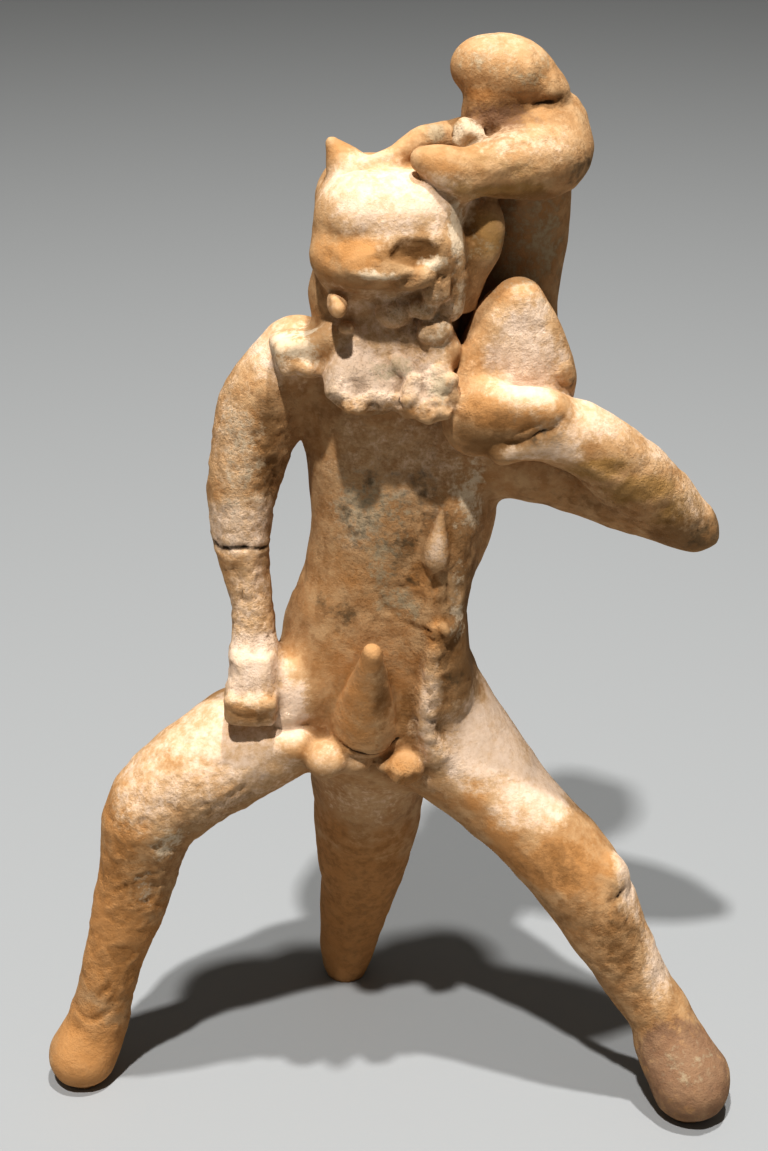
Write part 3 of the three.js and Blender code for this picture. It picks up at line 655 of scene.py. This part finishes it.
press(block((9.4, -2.8, 130.4), (1.6, 1.5, 1.6), 0.6, (20, 30, 15)), TOUCHING)
press(block((10.4, -2.6, 129.4), (0.9, 1.0, 0.8), 0.4, (0, 20, 40)), TOUCHING)
scoop(egg((4.4, -4.6, 129.4), (0.8, 1.8, 1.2)), TOUCHING)
scoop(egg((7.4, -3.2, 131.0), (0.6, 1.6, 1.9)), TOUCHING)
mark([(-4.6, -5.4, 127.0), (-1.6, -5.0, 127.4), (2.6, -4.4, 128.4)], 0.35, 0.3, 0.35)
mark([(3.4, -8.8, 127.0), (5.6, -9.4, 125.8), (8.0, -9.0, 124.6)], 0.5, 0.3, 0.3)
mark([(8.6, -8.6, 126.6), (12, -8.0, 127.2), (16, -6.6, 127.4)], 0.8, 0.15, 0.0)
mark([(17.2, -1.4, 133.5), (19.2, -1.2, 133.8), (21.2, -1.4, 134.3)], 0.3, 0.4, 0.8)
# Painted shade: a soft brown patch that stands for a hollow beside the bun.
wash("brown", (15.6, -2.4, 136.0), (3.8, 3.4, 2.2), 0.4)
wash("brown", (17.6, -1, 136.6), (1.8, 3, 2.4), 0.5)
wash("brown", (19.8, -1, 134.2), (2, 2.4, 1.2), 0.7)
# Painted shade: brown and plum darken the neck under the overhanging head.
wash("brown", (13, -2.5, 131.8), (5, 4, 3.0), 1.3)
wash("plum", (13, -2.5, 131.6), (4.6, 4, 2.8), 0.8)
wash("grey", (13, -1, 138), (7, 6, 3.4), 0.35)
wash("orange", (10.2, -2.6, 134.6), (3.4, 2.6, 1.2), 1.1)
wash("slip", (13, 0, 140), (6, 6, 2.4), 0.25)
wash("slip", (16, -5, 130), (6, 4, 2.6), 0.4)
wash("ochre", (13, -7, 128), (8, 3, 3), 0.4)
wash("orange", (6, -9, 127.6), (3, 3, 2.2), 0.8)
wash("ochre", (7.4, -9, 125.6), (3, 3, 1.4), 0.9)
wash("ochre", (14, -8, 125.0), (7, 3, 1.8), 0.8)
# Painted shade: a brown band along the underside of the thick arm.
wash("brown", (16, -6, 123.6), (8, 4, 1.4), 1.0)
wash("soot", (22.4, -2.4, 126.4), (2.4, 3, 1.8), 1.2)
# Brown on the trunk of the seated figure: partly its tone, partly painted shade, as it sits behind the head
# in shadow.
wash("brown", (16, 1, 116), (8, 8, 9), 0.6)
wash("grey", (16, 0, 117), (7, 7, 8), 0.55)
wash("grey", (6.0, -1.2, 130.4), (1.3, 2, 1.4), 1.2)
wash("chalk", (9.3, -3.8, 130.8), (2.0, 1.8, 2.0), 1.1)
wash("slip", (-1, -5.2, 128.2), (4, 2.4, 1.4), 0.6)
wash("rough", (14, -2, 131), (9, 8, 9), 0.4)
wash("rough", (8, -2, 130), (3.4, 3, 2.4), 1.4)
wash("lumpy", (8, -2, 130.6), (2.6, 2.4, 2.0), 0.8)
wash("lumpy", (17.8, 0, 135.6), (3.6, 5, 3.2), 0.6)

# The seated figure's drawn-up legs under their wrap, spreading down to the satyr's hand.
press(roll([(15.5, -4.6, 111.2, 2.3), (14.9, -3.8, 106.4, 5.0), (15.2, -3, 101, 7.6)], TRUNK_DEPTH), JOINED)
press(roll([(15.6, 4, 106, 5.4), (15.2, -2, 106.5, 4.4)]), JOINED)
near_shin = [
    (15.8, -5.2, 112.2, 1.9),
    (13.4, -5.6, 109.4, 1.8),
    (11.2, -6.2, 106.2, 1.7),
    (10, -7, 102.6, 1.7),
]
far_shin = [
    (16.2, -5.0, 111.8, 1.9),
    (18.3, -5.0, 108.4, 2.0),
    (20.0, -4.8, 104.8, 2.1),
    (20.9, -4.6, 102.4, 1.6),
]
for shin in (near_shin, far_shin):
    press(roll(shin), JOINED)
press(egg((15.5, -4.6, 106.2), (5.0, 3.5, 7.6)), JOINED)
for fold in range(5):
    mark(
        [
            (14.4 + 0.8 * fold, -7.2, 110.6 - 0.4 * abs(fold - 1)),
            (13.6 + 1.3 * fold, -7.8, 107.5),
            (12.6 + 1.8 * fold, -8.4, 104.2),
        ],
        0.4,
        0.14,
        0.15,
    )
chip((21.4, -6.2, 103.4), (1.2, 2, 1.6), -0.3)
wash("orange", (15.6, -6, 112.6), (3, 3, 2.2), 0.9)
wash("orange", (11.4, -8.4, 106.4), (1.8, 3, 4.6), 0.7)
wash("slip", (16.2, -9, 106.0), (5, 5, 7), 1.2)
wash("ochre", (17.4, -8.6, 109.4), (1.6, 2, 2.4), 0.5)
wash("orange", (20.6, -6.4, 103.6), (1.6, 3, 2), 0.6)
wash("soot", (22.0, -5.4, 102.2), (0.9, 2, 1.2), 0.9)
wash("rough", (16, -7, 106), (6, 4, 8), 0.4)

# The male parts, plain as the maker left them: a cone joined at its base, and two pellets.
press(roll([(-5.5, -4.6, 50, 2.4), (1.5, -4.6, 48.4, 2.2)]), TOUCHING)
press(roll([(-2.7, -5.8, 55.4, 4.7), (-1.4, -12.2, 69.2, 1.4)]), TOUCHING)
scoop(block((-2.6, -10.2, 51.2), (6.2, 2.6, 1.4), 0.4, (-24, 6, 0)), TOUCHING)
press(egg((-7.4, -8.3, 51.9), (3.1, 2.8, 2.7)), TOUCHING)
press(egg((-4.0, -7.4, 51.2), (2.6, 2.2, 1.9)), TOUCHING)
press(egg((2.7, -8.3, 50.4), (2.5, 2.4, 2.4)), TOUCHING)
press(egg((0.2, -7.6, 50.6), (1.4, 1.4, 1.2)), TOUCHING)
base_crack = [
    (-6.8, -7.0, 55.6),
    (-5.4, -9.0, 54.6),
    (-3.6, -9.8, 53.6),
    (-1.6, -9.6, 53.0),
    (0.4, -8.8, 53.0),
    (1.8, -7.6, 54.4),
]
mark(base_crack, 0.3, 0.45, 1.0)
mark([(1.6, -8.4, 55.4), (1.4, -9.6, 59.6), (0.6, -11, 64)], 0.35, -0.2, 0.0)
chip((3.4, -10.2, 49.6), (1.4, 1.6, 1.3), 0.25)
# Painted shade: brown down the side of the cone that is turned from the light.
wash("brown", (-0.2, -12, 60), (1.8, 3, 7), 0.8)
wash("orange", (-3, -11, 60), (4, 5, 8), 0.7)
wash("orange", (-1.5, -13, 69), (2.2, 3, 2.0), 1.2)
wash("slip", (-7.8, -10, 52.8), (2.6, 3, 2.2), 0.3)
wash("slip", (-4, -9, 52), (2.4, 3, 1.6), 0.3)
wash("orange", (2.7, -10, 50.4), (2.8, 3, 2.8), 1.2)
wash("rough", (2.7, -10, 50.4), (2.8, 3, 2.8), 1.1)
wash("lumpy", (2.7, -10, 50.4), (2.6, 3, 2.6), 0.25)
wash("rough", (-3, -11, 58), (4, 5, 6), 0.3)

# The skin: where the ground cut the clay flat, and then the surface itself, with one point in
# each cell of the grid that the surface passes through.
clay = np.maximum(clay, -BENCH[2][None, None, :]).astype(np.float32)
CORNERS = [(i, j, k) for i in (0, 1) for j in (0, 1) for k in (0, 1)]
ROUNDS = 6


def skin_of(field):
    """Points and four-sided faces of the surface where the field is nothing."""
    inside = field < 0
    shape = np.array(field.shape) - 1
    filled = sum(
        inside[i : shape[0] + i, j : shape[1] + j, k : shape[2] + k].astype(np.int8)
        for i, j, k in CORNERS
    )
    mixed = (filled > 0) & (filled < 8)
    number = np.full(shape, -1, np.int32)
    number[mixed] = np.arange(mixed.sum())
    cells = np.argwhere(mixed)
    total = np.zeros(cells.shape)
    hits = np.zeros(len(cells))
    for corner in CORNERS:
        for axis in range(3):
            if corner[axis]:
                continue
            start = cells + corner
            end = start.copy()
            end[:, axis] += 1
            a = field[tuple(start.T)]
            b = field[tuple(end.T)]
            crossed = (a < 0) != (b < 0)
            share = a[crossed] / (a[crossed] - b[crossed])
            place = np.tile(np.array(corner, float), (crossed.sum(), 1))
            place[:, axis] = share
            total[crossed] += place
            hits[crossed] += 1
    points = cells + total / hits[:, None]
    faces = []
    for axis in range(3):
        u, v = (axis + 1) % 3, (axis + 2) % 3
        edge = inside != np.roll(inside, -1, axis)
        for side in range(3):
            edge[tuple(slice(-1, None) if n == side else slice(None) for n in range(3))] = False
            edge[tuple(slice(0, 1) if n == side else slice(None) for n in range(3))] = False
        nodes = np.argwhere(edge)
        ring = []
        for du, dv in ((0, 0), (1, 0), (1, 1), (0, 1)):
            cell = nodes.copy()
            cell[:, u] -= du
            cell[:, v] -= dv
            ring.append(number[tuple(cell.T)])
        quads = np.stack(ring, 1)
        outward = inside[tuple(nodes.T)]
        quads[~outward] = quads[~outward][:, ::-1]
        faces.append(quads)
    return points, np.vstack(faces)


def sampled(field, points):
    """The field's value at points given in grid steps."""
    cell = np.clip(np.floor(points).astype(int), 0, np.array(field.shape) - 2)
    t = points - cell
    value = 0
    for i, j, k in CORNERS:
        share = np.prod(np.where((i, j, k), t, 1 - t), 1)
        value = value + share * field[cell[:, 0] + i, cell[:, 1] + j, cell[:, 2] + k]
    return value


def averaged(values, faces):
    """Each point's mean over the points next to it round its faces."""
    start = faces.ravel()
    end = np.roll(faces, -1, 1).ravel()
    count = np.bincount(start, minlength=len(values)) + np.bincount(end, minlength=len(values))
    mean = np.zeros_like(values)
    for column in range(values.shape[1]):
        mean[:, column] = np.bincount(start, values[end, column], len(values))
        mean[:, column] += np.bincount(end, values[start, column], len(values))
    return mean / count[:, None]


def normals_of(points, faces):
    """Unit normals of the points, from the faces around them."""
    a, b, c, d = (points[faces[:, n]] for n in range(4))
    across = np.cross(c - a, d - b)
    normals = np.zeros_like(points)
    for n in range(4):
        for column in range(3):
            normals[:, column] += np.bincount(faces[:, n], across[:, column], len(points))
    return normals / np.maximum(np.linalg.norm(normals, axis=1), 1e-12)[:, None]


points, faces = skin_of(clay)
slopes = np.gradient(clay)
for _ in range(ROUNDS):
    normal = normals_of(points, faces)
    slide = 0.5 * (averaged(points, faces) - points)
    points += slide - normal * (slide * normal).sum(1)[:, None]
    slope = np.stack([sampled(part, points) for part in slopes], 1)
    steep = np.maximum((slope**2).sum(1), 0.02)
    points -= np.clip(sampled(clay, points) / steep, -0.5, 0.5)[:, None] * slope
points = points * STEP + [axis[0] for axis in BENCH]

# The surface as the hand left it and time wore it: uneven from the fingers, gritty where the
# slip is gone, pitted in places, chipped on the belly and with old breaks joined again.
HAND = ((9.0, 0.26), (4.0, 0.18), (2.0, 0.09))
GRIT = ((1.3, 0.1), (0.85, 0.11))
FLAKE = 0.13
PIT = 0.2
LUMP = 0.7
SCORED = 0.8
SIGHT = (1, 0.3, 1)
MOST_FACES = 196000


def grain(at, size, seed):
    """Smooth random lumps about size mm across, from -1 to 1."""
    lattice = np.random.default_rng(seed).uniform(-1, 1, (32, 32, 32))
    cell = np.floor(at / size).astype(int)
    t = at / size - cell
    t = t * t * (3 - 2 * t)
    value = 0
    for i, j, k in CORNERS:
        share = np.prod(np.where((i, j, k), t, 1 - t), 1)
        value = value + share * lattice[(cell[:, 0] + i) % 32, (cell[:, 1] + j) % 32, (cell[:, 2] + k) % 32]
    return value


def ramp(value, low, high):
    """0 below low, 1 above high, smooth between."""
    t = np.clip((value - low) / (high - low), 0, 1)
    return t * t * (3 - 2 * t)


def laid(tone, at):
    """How strongly a tone lies at each point, with a ragged edge."""
    edge = 0.3 * grain(at, 3.1, 5) + 0.2 * grain(at, 1.4, 6)
    strength = np.zeros(len(at))
    for name, centre, half, most in washes:
        if name == tone:
            off = np.linalg.norm((at - centre) / half, axis=1) + edge
            strength = np.maximum(strength, most * np.clip(1.6 - 1.2 * off, 0, 1))
    return strength


def gap_to(path, at):
    """How far each point is from a smooth line through a path, with little weight on depth."""
    line = smoothed(path)
    nearest = np.full(len(at), FAR)
    close = np.where(np.all((at > line.min(0) - 2) & (at < line.max(0) + 2), axis=1))[0]
    for start, end in zip(line, line[1:]):
        way = end - start
        t = np.clip((at[close] - start) @ way / way.dot(way), 0, 1)
        off = np.linalg.norm((at[close] - start - t[:, None] * way) * SIGHT, axis=1)
        nearest[close] = np.minimum(nearest[close], off)
    return nearest


normal = normals_of(points, faces)
rough = laid("rough", points)
lumpy = laid("lumpy", points)
rise = sum(depth * grain(points, size, 20 + n) for n, (size, depth) in enumerate(HAND))
gritty = 0.15 + 0.85 * rough
rise += gritty * sum(depth * grain(points, size, 30 + n) for n, (size, depth) in enumerate(GRIT))
rise -= PIT * rough * ramp(grain(points, 1.2, 41), 0.45, 0.75)
flaking = grain(points, 2.6, 43) + 0.5 * grain(points, 1.1, 44)
rise -= FLAKE * (0.12 + 0.88 * rough) * ramp(flaking, 0.08, 0.24)
pinched = abs(grain(points, 2.7, 81)) + 0.6 * abs(grain(points, 1.5, 82))
rise += LUMP * lumpy * (pinched - 0.35)
for centre, half, way, depth in strokes:
    within = ramp(1.2 - np.linalg.norm((points - centre) / half, axis=1), 0, 0.5)
    along = points - SCORED * (points @ way)[:, None] * way
    rise += within * depth * grain(along, 0.9, 51)
for centre, half, depth in chips:
    off = np.linalg.norm((points - centre) / half, axis=1)
    off += 0.25 * grain(points, 1.7, 61) + 0.15 * grain(points, 0.9, 62)
    rise -= depth * ramp(1.0 - off, 0, 0.18)
seam = np.full(len(points), FAR)
wobble = points + 0.25 * np.stack([grain(points, 1.5, 70 + n) for n in range(3)], 1)
for path, width, depth, dark in marks:
    off = gap_to(path, wobble) / width
    rise -= depth * np.clip(1 - off / 1.5, 0, 1)
    if dark:
        seam = np.minimum(seam, off / dark)
standing = ramp(points[:, 2], 0.2, 2.0)
points += normal * (rise * standing)[:, None]
sole = points[:, 2] < 0.35
points[sole, 2] = 0
points[:, 2] = np.maximum(points[:, 2], 0)

normal = normals_of(points, faces)
even = points.copy()
for _ in range(8):
    even = averaged(even, faces)
hump = ((points - even) * normal).sum(1)

low, high = points.min(0), points.max(0)
fired = (points - low) / (high - low) * (np.array(cad_high) - cad_low) + cad_low

skin = bpy.data.meshes.new("figurine_clay")
skin.from_pydata(fired.tolist(), [], faces.tolist())
TONES = ("slip", "chalk", "orange", "ochre", "brown", "plum", "grey", "soot", "rough")
layers = {tone: laid(tone, points) for tone in TONES}
layers["worn"] = np.clip(hump * 2.5, 0, 1)
# Darker colour in the hollows of the skin, found from its shape.
layers["hollow_darkening"] = np.clip(-hump * 2.5, 0, 1)
layers["seam"] = np.minimum(seam, 4)
for tone, strength in layers.items():
    skin.attributes.new(tone, "FLOAT", "POINT").data.foreach_set("value", strength.astype(np.float32))
skin.shade_smooth()
figurine = bpy.data.objects.new("figurine_clay", skin)
bpy.context.scene.collection.objects.link(figurine)
if 2 * len(faces) > MOST_FACES:
    thinning = figurine.modifiers.new("thinning", "DECIMATE")
    thinning.ratio = MOST_FACES / (2 * len(faces))
    shown = figurine.evaluated_get(bpy.context.evaluated_depsgraph_get())
    skin = bpy.data.meshes.new_from_object(shown)
    figurine.modifiers.remove(thinning)
    figurine.data = skin

# The fired clay: buff to orange, with remains of a white slip, brown and grey stains, dark
# specks, and darker colour in the hollows of the skin. Brown and plum are also painted as shade
# in places, and chalk partly as a painted highlight. Dry and matt all over.
CLAY = (0.43, 0.25, 0.12, 1)
CLAY_PALE = (0.58, 0.40, 0.235, 1)
CLAY_DEEP = (0.28, 0.15, 0.065, 1)
SLIP = (0.82, 0.64, 0.50, 1)
SLIP_THIN = (0.66, 0.46, 0.29, 1)
CHALK = (0.74, 0.61, 0.45, 1)
ORANGE = (0.50, 0.255, 0.095, 1)
OCHRE = (0.36, 0.215, 0.075, 1)
# BROWN and PLUM also serve as painted shade, and CHALK partly as a painted highlight.
BROWN = (0.20, 0.105, 0.037, 1)
PLUM = (0.25, 0.15, 0.10, 1)
GREY = (0.46, 0.38, 0.26, 1)
SOOT = (0.10, 0.072, 0.04, 1)
DARK_BROWN = (0.17, 0.088, 0.03, 1)
SEAM = (0.03, 0.018, 0.01, 1)

terracotta = bpy.data.materials.new("terracotta")
terracotta.use_nodes = True
tree = terracotta.node_tree
shader = tree.nodes["Principled BSDF"]
place = tree.nodes.new("ShaderNodeTexCoord").outputs["Object"]


def between(value, low, high):
    """0 where value is below low, 1 above high."""
    node = tree.nodes.new("ShaderNodeMapRange")
    node.interpolation_type = "SMOOTHSTEP"
    node.inputs["From Min"].default_value = low
    node.inputs["From Max"].default_value = high
    tree.links.new(value, node.inputs["Value"])
    return node.outputs[0]


def grained(size, detail=3.0, roughness=0.55, at=place):
    """A noise about size mm across."""
    node = tree.nodes.new("ShaderNodeTexNoise")
    node.inputs["Scale"].default_value = 1000 / size
    node.inputs["Detail"].default_value = detail
    node.inputs["Roughness"].default_value = roughness
    tree.links.new(at, node.inputs["Vector"])
    return node.outputs["Fac"]


def mottle(size, detail=3.0, roughness=0.55, at=place):
    """Patches about size mm across, spread over 0 to 1."""
    return between(grained(size, detail, roughness, at), 0.3, 0.7)


def reckon(work, first, second):
    """One sum on two values, each a socket or a number."""
    node = tree.nodes.new("ShaderNodeMath")
    node.operation = work
    for socket, value in zip(node.inputs, (first, second)):
        if isinstance(value, (int, float)):
            socket.default_value = value
        else:
            tree.links.new(value, socket)
    return node.outputs[0]


def painted(under, colour, amount):
    """The colour under, covered by another as far as amount says."""
    node = tree.nodes.new("ShaderNodeMix")
    node.data_type = "RGBA"
    tree.links.new(amount, node.inputs["Factor"])
    for socket, value in ((node.inputs["A"], under), (node.inputs["B"], colour)):
        if isinstance(value, tuple):
            socket.default_value = value
        else:
            tree.links.new(value, socket)
    return node.outputs["Result"]


def layer(tone):
    """A tone that was laid on the skin."""
    node = tree.nodes.new("ShaderNodeAttribute")
    node.attribute_name = tone
    return node.outputs["Fac"]


brushed = tree.nodes.new("ShaderNodeMapping")
brushed.inputs["Rotation"].default_value = (0, math.radians(38), 0)
brushed.inputs["Scale"].default_value = (1, 1, 0.3)
tree.links.new(place, brushed.inputs["Vector"])

broad = mottle(8)
patchy = mottle(2.6, 4)
clouded = mottle(1.7, 5, 0.6)
streaky = mottle(0.9, 3, 0.6, brushed.outputs["Vector"])
fine = mottle(0.7, 5, 0.68)
grit = mottle(0.3, 3, 0.7)


def share(amount, most):
    """An amount held to at most a share."""
    return reckon("MULTIPLY", amount, most)


uneven = reckon("SUBTRACT", reckon("ADD", share(fine, 0.5), share(clouded, 0.5)), 0.5)


def ragged(tone, low, high, spread=0.7):
    """A tone with its edge broken up by the grain, and nothing where it wasn't laid."""
    broken = between(reckon("ADD", layer(tone), share(uneven, spread)), low, high)
    return reckon("MULTIPLY", broken, between(layer(tone), 0.0, 0.2))


colour = painted(CLAY, CLAY_PALE, share(patchy, 0.7))
colour = painted(colour, CLAY_DEEP, share(between(clouded, 0.4, 1.0), 0.5))
colour = painted(colour, ORANGE, share(broad, 0.3))
colour = painted(colour, CLAY_PALE, share(between(fine, 0.5, 1.0), 0.35))
colour = painted(colour, ORANGE, share(ragged("orange", 0.1, 0.9), 0.8))
colour = painted(colour, OCHRE, share(ragged("ochre", 0.15, 0.9), 0.8))
# Brown stains, and brown painted as shade: on the face, the flank, the tail, the arms, round the cone,
# under the beard and on the seated figure.
colour = painted(colour, BROWN, share(ragged("brown", 0.1, 1.0), 0.7))
# Plum, and plum painted as shade on the seated figure's neck.
colour = painted(colour, PLUM, share(ragged("plum", 0.1, 0.9, 1.0), 0.75))
colour = painted(colour, SLIP_THIN, share(ragged("slip", 0.0, 0.6), 0.8))
slipped = between(reckon("ADD", layer("slip"), share(uneven, 0.9)), 0.3, 1.1)
slipped = reckon("MULTIPLY", slipped, reckon("ADD", share(streaky, 0.35), 0.65))
colour = painted(colour, SLIP, share(slipped, 0.95))
# Chalk, partly a painted highlight on the chest.
colour = painted(colour, CHALK, share(ragged("chalk", 0.15, 0.95, 1.3), 0.85))
colour = painted(colour, GREY, share(ragged("grey", 0.2, 0.95, 1.1), 0.8))
sooty = reckon("MULTIPLY", ragged("soot", 0.1, 0.9, 1.0), mottle(1.0, 2, 0.5))
colour = painted(colour, SOOT, share(sooty, 0.75))
# Darkens the hollows of the skin.
colour = painted(colour, DARK_BROWN, share(layer("hollow_darkening"), 0.6))
specks = reckon("MULTIPLY", between(reckon("SUBTRACT", 1.0, grit), 0.7, 0.95), layer("rough"))
colour = painted(colour, DARK_BROWN, share(specks, 0.35))
colour = painted(colour, CLAY_PALE, share(layer("worn"), 0.45))
colour = painted(colour, SEAM, share(between(reckon("SUBTRACT", 1.0, layer("seam")), 0.1, 0.6), 0.85))
tree.links.new(colour, shader.inputs["Base Color"])
shader.inputs["Roughness"].default_value = 0.85
shader.inputs["Specular IOR Level"].default_value = 0.25

texture = reckon("MULTIPLY", grained(0.6, 6, 0.7), reckon("ADD", share(layer("rough"), 1.2), 0.6))
texture = reckon("ADD", texture, share(slipped, 0.15))
bump = tree.nodes.new("ShaderNodeBump")
bump.inputs["Strength"].default_value = 1.0
bump.inputs["Distance"].default_value = 0.00025
tree.links.new(texture, bump.inputs["Height"])
tree.links.new(bump.outputs["Normal"], shader.inputs["Normal"])
skin.materials.clear()
skin.materials.append(terracotta)

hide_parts("figurine")
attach(figurine, "root")

# The floor: a plain pale board, wide enough to fill the view.
floor_mesh = bpy.data.meshes.new("floor")
floor_mesh.from_pydata([(-3, -3, 0), (3, -3, 0), (3, 3, 0), (-3, 3, 0)], [], [(0, 1, 2, 3)])
floor = bpy.data.objects.new("floor", floor_mesh)
bpy.context.scene.collection.objects.link(floor)
board = bpy.data.materials.new("board")
board.use_nodes = True
board.node_tree.nodes["Principled BSDF"].inputs["Base Color"].default_value = (0.34, 0.345, 0.345, 1)
board.node_tree.nodes["Principled BSDF"].inputs["Roughness"].default_value = 0.7
floor_mesh.materials.append(board)

# The light: one lamp high in front, a little to the left, another almost overhead on the right,
# so that each casts its own shadow, and a weak even fill.
AIM = (0, 0, 0.07)


def lamp(name, place, size, power):
    """A square soft light that faces the figurine."""
    light = bpy.data.lights.new(name, "AREA")
    light.size = size
    light.energy = power
    thing = bpy.data.objects.new(name, light)
    thing.location = place
    away = np.array(AIM) - place
    thing.rotation_euler = (
        math.atan2(math.hypot(away[0], away[1]), -away[2]),
        0,
        math.atan2(away[0], -away[1]) + math.pi,
    )
    bpy.context.scene.collection.objects.link(thing)


lamp("front", (-0.11, -0.41, 1.0), 0.035, 8.6)
lamp("overhead", (0.075, -0.115, 1.08), 0.035, 6.4)
world = bpy.data.worlds.new("room")
world.use_nodes = True
world.node_tree.nodes["Background"].inputs["Color"].default_value = (0.80, 0.78, 0.74, 1)
world.node_tree.nodes["Background"].inputs["Strength"].default_value = 0.17
bpy.context.scene.world = world
bpy.context.scene.view_settings.view_transform = "Standard"
bpy.context.scene.view_settings.look = "High Contrast"
